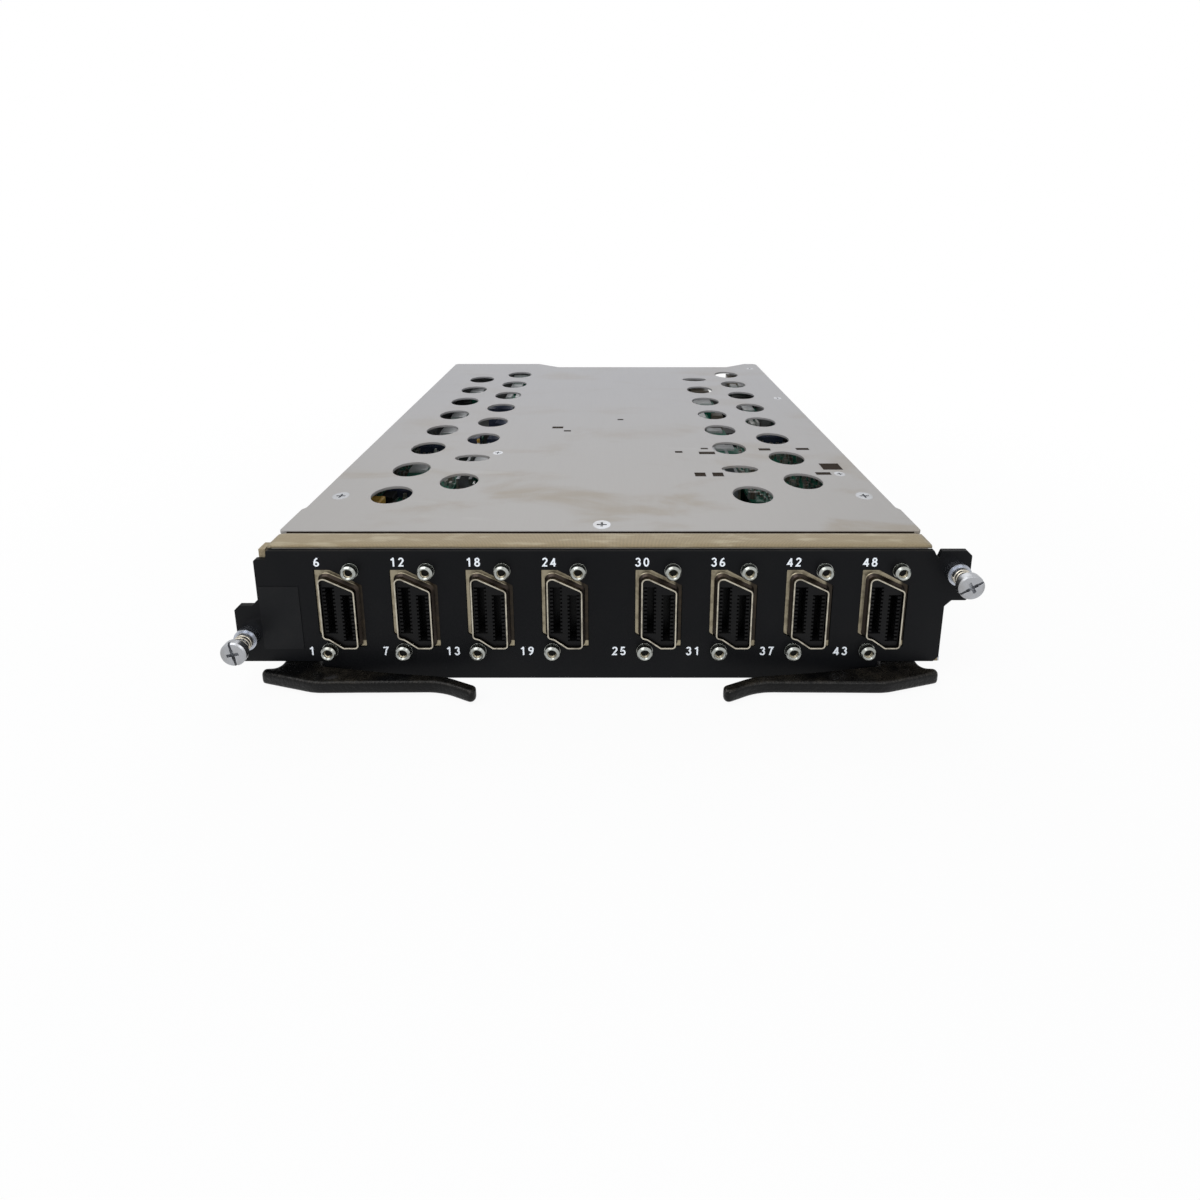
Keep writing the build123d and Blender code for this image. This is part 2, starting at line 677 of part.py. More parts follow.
def make_guide_block(side):
    """Zinc block with a bore and a lead-in cone for the backplane's guide pin."""
    left = guide_left(side)
    rear = plug_front + plug_depth
    x, z = left + guide_width / 2, board_top + plug_height / 2
    guide = block(left, left + guide_width, plug_front, rear, board_top, board_top + plug_height)
    profile = ((0, rear - guide_bore_depth), (guide_bore_radius, rear - guide_bore_depth),
               (guide_bore_radius, rear - 1.2), (guide_bore_radius + 1.2, rear), (0, rear))
    return guide - turned(x, z, profile)


# Parts on the board
def board_spot(u, v):
    """X and Y of a place on the board."""
    return u * board_half, board_front + v * (board_ear_end - board_front)


def on_board(x, y, width, length, height):
    """A box on the board, by its centre, width in X, length in Y and height."""
    return block(x - width / 2, x + width / 2, y - length / 2, y + length / 2, board_top, board_top + height)


def make_transformers():
    """A line transformer module behind each port, in two rows."""
    modules = []
    for index in range(port_count):
        for row in range(transformer_rows):
            y = board_spot(0, transformer_first + row * transformer_pitch)[1]
            modules.append(on_board(port_x(index) + transformer_shift, y, *transformer_size))
    return Compound(children=modules)


def make_group(places, size):
    """Like parts of one kind on the board."""
    return Compound(children=[on_board(*board_spot(u, v), *size) for u, v in places])


def make_heat_sink(u, v):
    """Finned extrusion on a switch chip."""
    x, y = board_spot(u, v)
    base = board_top + asic_height
    sink = block(x - sink_size / 2, x + sink_size / 2, y - sink_size / 2, y + sink_size / 2, base, base + sink_height)
    pitch = (sink_size - fin_thickness) / (fin_count - 1)
    for gap in range(fin_count - 1):
        left = x - sink_size / 2 + gap * pitch + fin_thickness
        sink -= block(left, left + pitch - fin_thickness, y - sink_size, y + sink_size, base + sink_base,
                      base + sink_height + 1)
    return sink


def make_cans():
    return Compound(children=[post(*board_spot(u, v), board_top, board_top + can_height, can_radius)
                              for u, v in can_places])


def write_parts():
    """Builds every node and writes one STEP file for each."""
    nodes = {
        "faceplate": make_faceplate(),
        "blank_label": make_label(),
        "bottom_tray": make_tray(),
        "top_cover": make_cover(),
        "cover_screws": make_cover_screws((lip_screw, *big_screws), big_head_radius, big_shank_radius),
        "cover_screws_small": make_cover_screws(small_screws, small_head_radius, small_shank_radius),
        "support_posts": make_posts(),
        "circuit_board": make_board(),
        "top_gasket": make_top_gasket(),
        "jack_sockets": make_jack_sockets(),
        "power_plug": make_power_plug(),
        "line_transformers": make_transformers(),
        "memory_chips": make_group(memory_places, memory_size),
        "power_modules": make_group(module_places, module_size),
        "inductors": make_group(inductor_places, inductor_size),
        "tantalum_capacitors": make_group(tantalum_places, tantalum_size),
        "can_capacitors": make_cans(),
        "film_capacitors": make_group(film_places, film_size),
    }
    nodes["side_gasket_left"], nodes["side_gasket_right"] = make_side_gaskets()
    slots = make_contact_slots()
    for index in range(port_count):
        nodes[f"port_shell_{index + 1}"] = make_port_shell(index)
        nodes[f"port_block_{index + 1}"] = make_port_block(index, slots)
    for index in range(signal_count):
        nodes[f"signal_plug_{index + 1}"] = make_signal_plug(index)
    for index, place in enumerate(asic_places):
        nodes[f"switch_chip_{index + 1}"] = on_board(*board_spot(*place), asic_size, asic_size, asic_height)
        nodes[f"heat_sink_{index + 1}"] = make_heat_sink(*place)
    for (name, x, z), slot_turn in zip(screw_places(), (78, -32)):
        nodes[f"panel_screw_{name}"] = make_panel_screw(x, z, slot_turn)
        nodes[f"screw_washer_{name}"] = make_washer(x, z)
        nodes[f"screw_spring_{name}"] = make_spring(x, z)
        nodes[f"screw_ferrule_{name}"] = make_ferrule(x, z)
    for name, side in (("left", -1), ("right", 1)):
        nodes[f"ejector_lever_{name}"] = make_lever(side)
        nodes[f"lever_bracket_{name}"] = make_bracket(side)
        nodes[f"lever_pin_{name}"] = make_pin(side)
        nodes[f"guide_block_{name}"] = make_guide_block(side)
    os.makedirs("parts", exist_ok=True)
    for name, shape in nodes.items():
        export_step(shape, f"parts/{name}.step")
    print(len(nodes), "nodes written")


write_parts()
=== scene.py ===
"""Looks of a switch line card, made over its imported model."""

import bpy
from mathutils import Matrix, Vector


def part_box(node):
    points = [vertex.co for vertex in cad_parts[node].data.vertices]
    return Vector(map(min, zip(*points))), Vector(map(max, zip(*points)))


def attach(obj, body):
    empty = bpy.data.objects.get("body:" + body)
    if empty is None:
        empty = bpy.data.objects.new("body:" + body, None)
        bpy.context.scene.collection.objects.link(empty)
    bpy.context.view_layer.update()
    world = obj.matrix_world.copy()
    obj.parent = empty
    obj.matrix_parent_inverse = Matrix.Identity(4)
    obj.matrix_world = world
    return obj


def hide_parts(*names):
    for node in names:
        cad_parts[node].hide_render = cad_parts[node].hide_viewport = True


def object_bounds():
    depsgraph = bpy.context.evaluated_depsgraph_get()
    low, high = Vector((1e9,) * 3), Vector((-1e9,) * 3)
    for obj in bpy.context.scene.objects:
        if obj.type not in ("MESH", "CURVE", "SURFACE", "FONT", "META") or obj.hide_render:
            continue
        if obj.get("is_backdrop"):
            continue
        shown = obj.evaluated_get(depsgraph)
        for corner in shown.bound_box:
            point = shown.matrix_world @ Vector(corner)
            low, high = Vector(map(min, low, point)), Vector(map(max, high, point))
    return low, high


bl_info = {
    "name": "Switch Line Card",
    "version": (1, 0, 0),
    "blender": (4, 5, 0),
    "location": "View3D > Sidebar > Line Card",
    "description": "Adds finishes, port numbers, contacts, gaskets and board parts to the line card",
    "category": "Object",
}

import bpy
import bmesh
import math
import random
from mathutils import Matrix, Vector

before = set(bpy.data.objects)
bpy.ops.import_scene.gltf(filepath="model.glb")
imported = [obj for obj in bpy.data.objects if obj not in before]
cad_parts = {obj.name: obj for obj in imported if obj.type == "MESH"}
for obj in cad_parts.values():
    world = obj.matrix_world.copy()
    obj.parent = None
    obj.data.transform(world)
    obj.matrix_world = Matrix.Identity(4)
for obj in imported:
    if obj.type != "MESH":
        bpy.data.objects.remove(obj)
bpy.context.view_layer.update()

MM = 0.001
PORTS = range(1, 9)
SIDES = ("left", "right")


# Sizes and colours that a user would change
def metres(name, description, default):
    return bpy.props.FloatProperty(name=name, description=description, default=default, unit="LENGTH")


def colour(name, description, default):
    return bpy.props.FloatVectorProperty(name=name, description=description, default=default, subtype="COLOR",
                                         size=3, min=0, max=1)


class CardSizes(bpy.types.PropertyGroup):
    """Sizes of the pieces that are added to the card"""
    number_height: metres("Number Height", "Height of the port numbers", 2.9 * MM)
    wire: metres("Spring Wire", "Diameter of the spring wire", 0.5 * MM)
    spring_turns: bpy.props.FloatProperty(
        name="Spring Turns", description="Coils of each spring", default=3.5, min=2, max=8)


class CardColours(bpy.types.PropertyGroup):
    """Colours of the card's finishes"""
    paint: colour("Faceplate Paint", "Powder paint on the faceplate", (0.0046, 0.005, 0.006))
    lever_paint: colour("Lever Paint", "Pebbled paint on the levers", (0.0018, 0.0018, 0.002))
    sheet: colour("Plated Sheet", "Cover and tray", (0.365, 0.353, 0.342))
    gasket: colour("Gasket", "Woven conductive fabric", (0.375, 0.3, 0.178))
    board: colour("Board", "Solder mask of the circuit board", (0.014, 0.15, 0.095))
    print: colour("Numbers", "Print of the port numbers", (0.9, 0.95, 1.0))


class CardStage(bpy.types.PropertyGroup):
    """Floor, lamps and camera"""
    floor: colour("Floor", "Colour of the floor", (0.86, 0.86, 0.86))
    lamp_power: bpy.props.FloatProperty(
        name="Lamp Power", description="Power of the main lamp in watts", default=2.4, min=0)
    lens: bpy.props.FloatProperty(name="Lens", description="Focal length in millimetres", default=18.75, min=5)


# Small helpers for node trees
def put(tree, socket, value):
    """Links an output to an input, or sets the input's value."""
    if isinstance(value, bpy.types.NodeSocket):
        tree.links.new(value, socket)
    else:
        socket.default_value = value


def add(tree, kind, inputs=None, **settings):
    """A node with its settings and inputs; an input may be a value or another node's output."""
    node = tree.nodes.new(kind)
    for key, value in settings.items():
        setattr(node, key, value)
    for key, value in (inputs or {}).items():
        put(tree, node.inputs[key], value)
    return node


def new_group(name, inputs, outputs):
    """An empty node group with float, vector or colour sockets."""
    group = bpy.data.node_groups.new(name, "ShaderNodeTree")
    for label, kind, default in inputs:
        socket = group.interface.new_socket(label, in_out="INPUT", socket_type=kind)
        if default is not None:
            socket.default_value = default
    for label, kind in outputs:
        group.interface.new_socket(label, in_out="OUTPUT", socket_type=kind)
    return group, add(group, "NodeGroupInput"), add(group, "NodeGroupOutput")


FLOAT, VECTOR, COLOR = "NodeSocketFloat", "NodeSocketVector", "NodeSocketColor"


def ramp(tree, value, low, high):
    """Values between low and high spread to 0..1, clamped."""
    return add(tree, "ShaderNodeMapRange", {"Value": value, "From Min": low, "From Max": high},
               interpolation_type="SMOOTHSTEP").outputs["Result"]


def maths(tree, operation, a, b):
    return add(tree, "ShaderNodeMath", {0: a, 1: b}, operation=operation).outputs[0]


def times(tree, a, b):
    return maths(tree, "MULTIPLY", a, b)


def plus(tree, a, b):
    return maths(tree, "ADD", a, b)


def larger(tree, a, b):
    return maths(tree, "MAXIMUM", a, b)


def noise(tree, vector, scale, detail, **more):
    """Noise between 0 and 1; more sets its other inputs, such as roughness."""
    inputs = {"Vector": vector, "Scale": scale, "Detail": detail}
    inputs.update({key.title(): value for key, value in more.items()})
    return add(tree, "ShaderNodeTexNoise", inputs).outputs["Fac"]


def scaled(tree, vector, factors):
    """The vector with each of its parts multiplied."""
    return add(tree, "ShaderNodeVectorMath", {0: vector, 1: factors}, operation="MULTIPLY").outputs[0]


def part(tree, vector, axis):
    """One part of a vector, X, Y or Z."""
    return add(tree, "ShaderNodeSeparateXYZ", {"Vector": vector}).outputs[axis]


def feed(tree, shader, **values):
    """Links values to the shader's inputs."""
    for key, value in values.items():
        tree.links.new(value, shader.inputs[key.replace("_", " ").title()])


def looked_at(tree):
    """1 for what the camera sees, also in gloss and through glass."""
    path = add(tree, "ShaderNodeLightPath").outputs
    return larger(tree, larger(tree, path["Is Camera Ray"], path["Is Glossy Ray"]), path["Is Transmission Ray"])


def make_grain_group():
    """Fine grain with a larger unevenness under it."""
    group, entry, out = new_group("Grain", [("Vector", VECTOR, None), ("Scale", FLOAT, 1500.0),
                                            ("Large", FLOAT, 0.3)], [("Height", FLOAT)])
    vector = entry.outputs["Vector"]
    fine = noise(group, vector, entry.outputs["Scale"], 3.0, roughness=0.6)
    large = noise(group, vector, 90.0, 2.0)
    mixed = add(group, "ShaderNodeMix", {"Factor": entry.outputs["Large"], "A": fine, "B": large})
    group.links.new(mixed.outputs["Result"], out.inputs["Height"])
    return group


def make_dust_group():
    """Dust that gathers on faces that look up, in patches."""
    group, entry, out = new_group("Dust", [("Vector", VECTOR, None), ("Scale", FLOAT, 120.0), ("Amount", FLOAT, 0.3),
                                           ("Sides", FLOAT, 0.15)], [("Mask", FLOAT)])
    vector = entry.outputs["Vector"]
    patches = noise(group, vector, entry.outputs["Scale"], 6.0, roughness=0.65)
    specks = noise(group, vector, 2600.0, 1.0)
    up = part(group, add(group, "ShaderNodeNewGeometry").outputs["Normal"], "Z")
    lying = larger(group, ramp(group, up, 0.2, 0.9), entry.outputs["Sides"])
    cover = times(group, ramp(group, patches, 0.38, 0.68), lying)
    spots = ramp(group, specks, 0.42, 0.66)
    spotted = times(group, cover, plus(group, times(group, spots, 0.7), 0.3))
    group.links.new(times(group, spotted, entry.outputs["Amount"]), out.inputs["Mask"])
    return group


def make_scratch_group():
    """Thin broken scratches along one direction of the vector's X axis."""
    group, entry, out = new_group(
        "Scratches", [("Vector", VECTOR, None), ("Scale", FLOAT, 200.0), ("Amount", FLOAT, 0.5),
                      ("Turn", VECTOR, (0, 0, 0))], [("Mask", FLOAT)])
    vector = entry.outputs["Vector"]
    turned = add(group, "ShaderNodeVectorRotate", {"Vector": vector,
                                                   "Rotation": entry.outputs["Turn"]}, rotation_type="EULER_XYZ")
    lines = noise(group, scaled(group, turned.outputs[0], (0.035, 1.0, 1.0)), entry.outputs["Scale"], 2.0,
                  distortion=0.15)
    sharp = ramp(group, lines, 0.66, 0.72)
    kept = ramp(group, noise(group, vector, 45.0, 3.0), 0.5, 0.62)
    group.links.new(times(group, times(group, sharp, kept), entry.outputs["Amount"]), out.inputs["Mask"])
    return group


def make_weave_group():
    """Threads over and under each other on the two directions of the vector's X and Y."""
    group, entry, out = new_group("Weave", [("Vector", VECTOR, None), ("Pitch", FLOAT, 0.0004)], [("Height", FLOAT)])
    count = maths(group, "DIVIDE", math.pi, entry.outputs["Pitch"])
    waves = []
    for axis in ("X", "Y"):
        wave = add(group, "ShaderNodeMath", {0: times(group, part(group, entry.outputs["Vector"], axis), count)},
                   operation="SINE")
        waves.append(add(group, "ShaderNodeMath", {0: wave.outputs[0]}, operation="ABSOLUTE").outputs[0])
    crossing = times(group, waves[0], waves[1])
    group.links.new(crossing, out.inputs["Height"])
    return group


def make_soft_edge_group():
    """Normal that rounds sharp edges a little."""
    group, entry, out = new_group("Soft Edge", [("Radius", FLOAT, 0.0002), ("Normal", VECTOR, None)],
                                  [("Normal", VECTOR)])
    edge = add(group, "ShaderNodeBevel", {"Radius": entry.outputs["Radius"], "Normal": entry.outputs["Normal"]},
               samples=4)
    group.links.new(edge.outputs["Normal"], out.inputs["Normal"])
    return group


GROUPS = {}
MATERIALS = {}


def place(tree, group, **inputs):
    """One of the shared effects in a material, with its own values."""
    node = add(tree, "ShaderNodeGroup", node_tree=GROUPS[group])
    for key, value in inputs.items():
        put(tree, node.inputs[key.replace("_", " ").title()], value)
    return node.outputs[0]


def start_material(name, color, roughness, metallic=0.0, **values):
    """A material with one Principled shader; values are set on the shader's own sockets."""
    material = bpy.data.materials.new(name)
    material.use_nodes = True
    tree = material.node_tree
    shader = tree.nodes["Principled BSDF"]
    shader.inputs["Base Color"].default_value = (*color, 1)
    shader.inputs["Roughness"].default_value = roughness
    shader.inputs["Metallic"].default_value = metallic
    for key, value in values.items():
        shader.inputs[key.replace("_", " ").title().replace("Ior", "IOR")].default_value = value
    coords = add(tree, "ShaderNodeTexCoord").outputs["Object"]
    MATERIALS[name] = material
    return tree, shader, coords


def mix_color(tree, factor, a, b):
    """Colour a turning to b by the factor; a and b are colours or sockets."""
    node = add(tree, "ShaderNodeMix", {"Factor": factor}, data_type="RGBA")
    for socket, value in ((node.inputs[6], a), (node.inputs[7], b)):
        put(tree, socket, value if isinstance(value, bpy.types.NodeSocket) else (*value, 1))
    return node.outputs[2]


def bump(tree, shader, height, strength, distance, soft=None):
    """Height to the shader's normal, over softened edges where a radius is given."""
    node = add(tree, "ShaderNodeBump", {"Height": height, "Strength": strength, "Distance": distance})
    if soft:
        tree.links.new(place(tree, "Soft Edge", radius=soft), node.inputs["Normal"])
    tree.links.new(node.outputs["Normal"], shader.inputs["Normal"])


def make_paint(name, color, pebble, strength, roughness, dust, sides, shine, worn_and_lit_edges):
    """Black powder paint: fine pebble, faint pale scratches, brown dust, and a grey tint on sharp edges that is partly
    wear and partly painted highlight.
    """
    tree, shader, coords = start_material(name, color, roughness, specular_ior_level=shine)
    dusty = place(tree, "Dust", vector=coords, scale=70.0, amount=dust, sides=sides)
    scratched = place(tree, "Scratches", vector=coords, scale=170.0, amount=0.25, turn=(0.0, 0.35, 0.0))
    base = mix_color(tree, dusty, mix_color(tree, scratched, color, (0.09, 0.09, 0.1)), (0.16, 0.135, 0.1))
    # Grey tint on sharp edges, broken by noise: partly worn paint, partly painted highlight along the rounded edges.
    if worn_and_lit_edges:
        sharp = ramp(tree, add(tree, "ShaderNodeNewGeometry").outputs["Pointiness"], 0.512, 0.545)
        worn_and_lit = times(tree, sharp, ramp(tree, noise(tree, coords, 1700.0, 3.0), 0.45, 0.6))
        base = mix_color(tree, times(tree, worn_and_lit, worn_and_lit_edges), base, (0.125, 0.115, 0.105))
    grain = place(tree, "Grain", vector=coords, scale=pebble, large=0.12)
    rough = plus(tree, times(tree, dusty, 0.4), plus(tree, times(tree, grain, 0.14), roughness - 0.07))
    feed(tree, shader, base_color=base, roughness=rough)
    bump(tree, shader, grain, strength, 0.0002, 0.00025)


def make_plated_sheet(name, color):
    """Dull plated sheet with rolling marks, brown stains and soft clouds."""
    tree, shader, coords = start_material(name, color, 0.55, 0.2)
    clouds = noise(tree, coords, 14.0, 4.0)
    blots = noise(tree, scaled(tree, coords, (0.6, 1.3, 1.0)), 38.0, 5.0, roughness=0.55, distortion=0.4)
    depth = part(tree, coords, "Y")
    near = add(tree, "ShaderNodeMapRange", {"Value": depth, "From Min": 0.03, "From Max": 0.12, "To Min": 1.0,
                                            "To Max": 0.35}).outputs["Result"]
    stain = times(tree, ramp(tree, blots, 0.5, 0.74), near)
    even = mix_color(tree, ramp(tree, depth, 0.0, 0.2), color, (color[0] * 0.93, color[1] * 0.955, color[2] * 1.02))
    base = mix_color(tree, times(tree, clouds, 0.12), even, tuple(c * 0.6 for c in color))
    stained = mix_color(tree, times(tree, stain, 0.5), base, (0.29, 0.24, 0.17))
    marks = place(tree, "Scratches", vector=coords, scale=260.0, amount=0.1, turn=(0.0, 0.0, 0.1))
    grain = place(tree, "Grain", vector=scaled(tree, coords, (1.0, 0.03, 1.0)), scale=1800.0, large=0.2)
    feed(tree, shader, base_color=mix_color(tree, marks, stained, (0.55, 0.54, 0.53)),
         roughness=plus(tree, plus(tree, times(tree, grain, 0.12), times(tree, stain, 0.1)), 0.5))
    bump(tree, shader, plus(tree, times(tree, grain, 0.35), times(tree, clouds, 0.65)), 0.12, 0.0006, 0.0003)


def make_metal(name, color, roughness, tarnish=0.25, metallic=1.0):
    """Plated turned or die-cast metal with slight tarnish."""
    tree, shader, coords = start_material(name, color, roughness, metallic)
    dull = times(tree, ramp(tree, noise(tree, coords, 260.0, 4.0), 0.45, 0.7), tarnish)
    grain = place(tree, "Grain", vector=coords, scale=900.0, large=0.3)
    feed(tree, shader, base_color=mix_color(tree, dull, color, tuple(c * k for c, k in zip(color, (0.5, 0.44, 0.36)))),
         roughness=plus(tree, times(tree, grain, 0.18), roughness - 0.07))
    bump(tree, shader, grain, 0.12, 0.0002, 0.00012)


def beside_ports(tree, coords, low, high, soft):
    """1 in a band beside each port, from low to high in X, in millimetres from the port's middle."""
    across = part(tree, coords, "X")
    total = 0.0
    for port in PORTS:
        x = middle(f"port_block_{port}").x
        total = plus(tree, total, times(tree, ramp(tree, across, (x + low - soft) * MM, (x + low + soft) * MM),
                                        ramp(tree, across, (x + high + soft) * MM, (x + high - soft) * MM)))
    return total


def make_port_plating(name):
    """Nickel plating: painted highlight on the shell's rim, painted shade on its walls, tan on the flange behind."""
    rim, wall, flange = (0.52, 0.485, 0.4), (0.04, 0.032, 0.028), (0.3, 0.265, 0.19)
    tree, shader, coords = start_material(name, wall, 0.3, 1.0)
    depth = part(tree, coords, "Y")
    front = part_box("port_shell_1")[0][1]
    dull = times(tree, ramp(tree, noise(tree, coords, 500.0, 4.0), 0.42, 0.7), 0.45)
    # Painted highlight on the rim's front face, painted shade on the walls behind it.
    face = mix_color(tree, ramp(tree, depth, front + 0.06 * MM, front + 0.16 * MM), rim, wall)
    # Below z -9.3 mm the flange is pale tan, with no band of painted shade.
    corner = ramp(tree, part(tree, coords, "Z"), -8.9 * MM, -9.3 * MM)
    # Painted shade: a dark band from 4.8 to 12 mm right of each port's middle, where the shell's outer wall lies in
    # shade, crossed at 7.2 mm by a thin painted highlight on the flange's edge.
    plain = mix_color(tree, beside_ports(tree, coords, 4.8, 12.0, 0.6), flange, (0.03, 0.025, 0.02))
    flange_shade_and_highlight = mix_color(tree, times(tree, beside_ports(tree, coords, 7.2, 7.45, 0.1), 0.8), plain, (0.5, 0.45, 0.34))
    shaded = mix_color(tree, corner, flange_shade_and_highlight, (0.34, 0.3, 0.21))
    zones = mix_color(tree, ramp(tree, depth, -1.42 * MM, -1.3 * MM), face, shaded)
    grain = place(tree, "Grain", vector=coords, scale=1200.0, large=0.3)
    feed(tree, shader, base_color=mix_color(tree, dull, zones, (0.06, 0.045, 0.03)),
         roughness=plus(tree, times(tree, grain, 0.18), 0.24))
    bump(tree, shader, grain, 0.12, 0.0002, 0.00008)


def make_fabric(name, color):
    """Woven metallised fabric: fine threads, paler worn streaks and a little sheen."""
    tree, shader, coords = start_material(name, color, 0.62, 0.25, sheen_weight=0.15)
    round_edge = add(tree, "ShaderNodeCombineXYZ", {
        "X": part(tree, coords, "X"), "Y": plus(tree, part(tree, coords, "Y"), part(tree, coords, "Z"))})
    weave = place(tree, "Weave", vector=round_edge.outputs["Vector"], pitch=0.00042)
    wear = noise(tree, scaled(tree, coords, (0.25, 1.0, 1.0)), 420.0, 5.0)
    threads = mix_color(tree, ramp(tree, weave, 0.0, 0.7), tuple(c * 0.45 for c in color), color)
    worn = times(tree, ramp(tree, wear, 0.48, 0.75), 0.45)
    feed(tree, shader, base_color=mix_color(tree, worn, threads, (0.55, 0.49, 0.36)),
         roughness=plus(tree, times(tree, wear, 0.25), 0.5))
    bump(tree, shader, plus(tree, weave, times(tree, wear, 0.4)), 0.5, 0.00012)


def make_plastic(name, color, roughness, grain_scale=1600.0, strength=0.1, dust=0.2, shine=0.5):
    """Moulded plastic with a fine texture and a little dust."""
    tree, shader, coords = start_material(name, color, roughness, specular_ior_level=shine)
    dusty = place(tree, "Dust", vector=coords, scale=160.0, amount=dust, sides=0.35)
    grain = place(tree, "Grain", vector=coords, scale=grain_scale, large=0.2)
    feed(tree, shader, base_color=mix_color(tree, dusty, color, (0.2, 0.18, 0.15)),
         roughness=plus(tree, times(tree, grain, 0.2), roughness - 0.1))
    bump(tree, shader, grain, strength, 0.0002, 0.00012)


def make_board_mask(name, color):
    """Green solder mask over traces, with tin pads and through holes."""
    tree, shader, coords = start_material(name, color, 0.35, 0.0)
    traces = add(tree, "ShaderNodeTexBrick", {"Vector": coords, "Color1": (1, 1, 1, 1), "Color2": (0.6, 0.6, 0.6, 1),
                                              "Mortar": (0, 0, 0, 1), "Scale": 190.0, "Mortar Size": 0.018,
                                              "Brick Width": 0.9, "Row Height": 0.22}).outputs["Color"]
    lanes = add(tree, "ShaderNodeSeparateColor", {"Color": traces}).outputs["Red"]
    holes = add(tree, "ShaderNodeTexVoronoi", {"Vector": coords, "Scale": 330.0, "Randomness": 0.75})
    dots = ramp(tree, holes.outputs["Distance"], 0.24, 0.19)
    tinned = times(tree, dots, ramp(tree, noise(tree, coords, 75.0, 2.0), 0.5, 0.56))
    mask = mix_color(tree, lanes, tuple(c * 0.55 for c in color), tuple(c * 1.35 for c in color))
    feed(tree, shader, base_color=mix_color(tree, tinned, mask, (0.62, 0.64, 0.62)),
         metallic=times(tree, tinned, 0.9))
    bump(tree, shader, plus(tree, times(tree, lanes, 0.5), tinned), 0.3, 0.0001)


def make_print(name, color):
    """Screen-printed ink, slightly uneven."""
    tree, shader, coords = start_material(name, color, 0.55)
    worn = noise(tree, coords, 1700.0, 3.0)
    feed(tree, shader, base_color=mix_color(tree, times(tree, ramp(tree, worn, 0.5, 0.75), 0.2), color,
                                            tuple(c * 0.55 for c in color)))
    bump(tree, shader, worn, 0.1, 0.0001)


FINISH_NODES = {
    "black_paint": "faceplate", "label_film": "blank_label", "plated_sheet": "bottom_tray top_cover",
    "screw_plating": "cover_screws cover_screws_small support_posts panel_screw screw_washer screw_spring "
                     "lever_bracket lever_pin",
    "jack_plating": "jack_sockets", "ferrule_plating": "screw_ferrule", "board_mask": "circuit_board",
    "gasket_fabric": "top_gasket side_gasket_left side_gasket_right", "plug_plastic": "power_plug signal_plug",
    "transformer_plastic": "line_transformers", "chip_plastic": "memory_chips inductors switch_chip",
    "case_metal": "power_modules", "module_metal": "can_capacitors",
    "capacitor_orange": "tantalum_capacitors film_capacitors", "port_plating": "port_shell",
    "port_plastic": "port_block", "sink_aluminium": "heat_sink", "lever_paint": "ejector_lever",
    "guide_zinc": "guide_block",
}
NODE_FINISH = {node: finish for finish, nodes in FINISH_NODES.items() for node in nodes.split()}


class LINECARD_OT_finishes(bpy.types.Operator):
    """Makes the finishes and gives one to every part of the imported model"""
    bl_idname = "line_card.finishes"
    bl_label = "Finishes"

    def execute(self, context):
        colours = context.scene.card_colours
        GROUPS.update({"Grain": make_grain_group(), "Dust": make_dust_group(), "Scratches": make_scratch_group(),
                       "Weave": make_weave_group(), "Soft Edge": make_soft_edge_group()})
        make_paint("black_paint", colours.paint, 1500.0, 0.09, 0.42, 0.06, 0.2, 0.08, 0.0)
        make_paint("lever_paint", colours.lever_paint, 950.0, 1.0, 0.26, 0.2, 0.02, 0.15, 0.5)
        make_plastic("label_film", (0.0052, 0.0057, 0.0068), 0.45, 2500.0, 0.05, 0.05, 0.12)
        make_plated_sheet("plated_sheet", colours.sheet)
        make_metal("screw_plating", (0.4, 0.41, 0.43), 0.34)
        make_metal("spring_wire", (0.62, 0.58, 0.5), 0.22)
        make_port_plating("port_plating")
        make_metal("jack_plating", (0.37, 0.385, 0.365), 0.2, tarnish=0.45)
        make_metal("bore_steel", (0.3, 0.27, 0.2), 0.2)
        make_plastic("bore_shade", (0.006, 0.006, 0.005), 0.6, dust=0, shine=0.1)
        make_metal("ferrule_plating", (0.46, 0.485, 0.54), 0.24)
        # Dark brown for painted shade: the gap behind the gasket and the inside under the cover's slots.
        make_plastic("painted_shade", (0.024, 0.017, 0.012), 0.8, dust=0, shine=0.1)
        make_metal("guide_zinc", (0.55, 0.55, 0.54), 0.45)
        make_metal("sink_aluminium", (0.55, 0.57, 0.59), 0.4)
        make_metal("module_metal", (0.72, 0.73, 0.74), 0.42, metallic=0.15)
        make_metal("case_metal", (0.1, 0.1, 0.1), 0.45, metallic=0.3)
        make_metal("solder", (0.42, 0.43, 0.41), 0.3, metallic=0.5)
        make_fabric("gasket_fabric", colours.gasket)
        make_plastic("port_plastic", (0.0035, 0.0035, 0.004), 0.4, 1600.0, 0.1, 0.03, 0.12)
        make_plastic("plug_plastic", (0.02, 0.02, 0.023), 0.5)
        make_plastic("chip_plastic", (0.012, 0.012, 0.014), 0.5)
        make_plastic("transformer_plastic", (0.065, 0.08, 0.135), 0.25)
        make_plastic("capacitor_orange", (0.95, 0.58, 0.12), 0.4, dust=0.0)
        make_board_mask("board_mask", colours.board)
        make_plastic("ceramic", (0.2, 0.17, 0.135), 0.35)
        make_metal("tin", (0.86, 0.87, 0.84), 0.25, metallic=0.3)
        make_print("number_print", colours.print)
        for name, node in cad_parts.items():
            kind = name if name in NODE_FINISH else name.rsplit("_", 1)[0]
            material = MATERIALS[NODE_FINISH[kind]]
            if not node.material_slots:
                node.data.materials.append(material)
            for entry in node.material_slots:
                entry.material = material
        return {"FINISHED"}


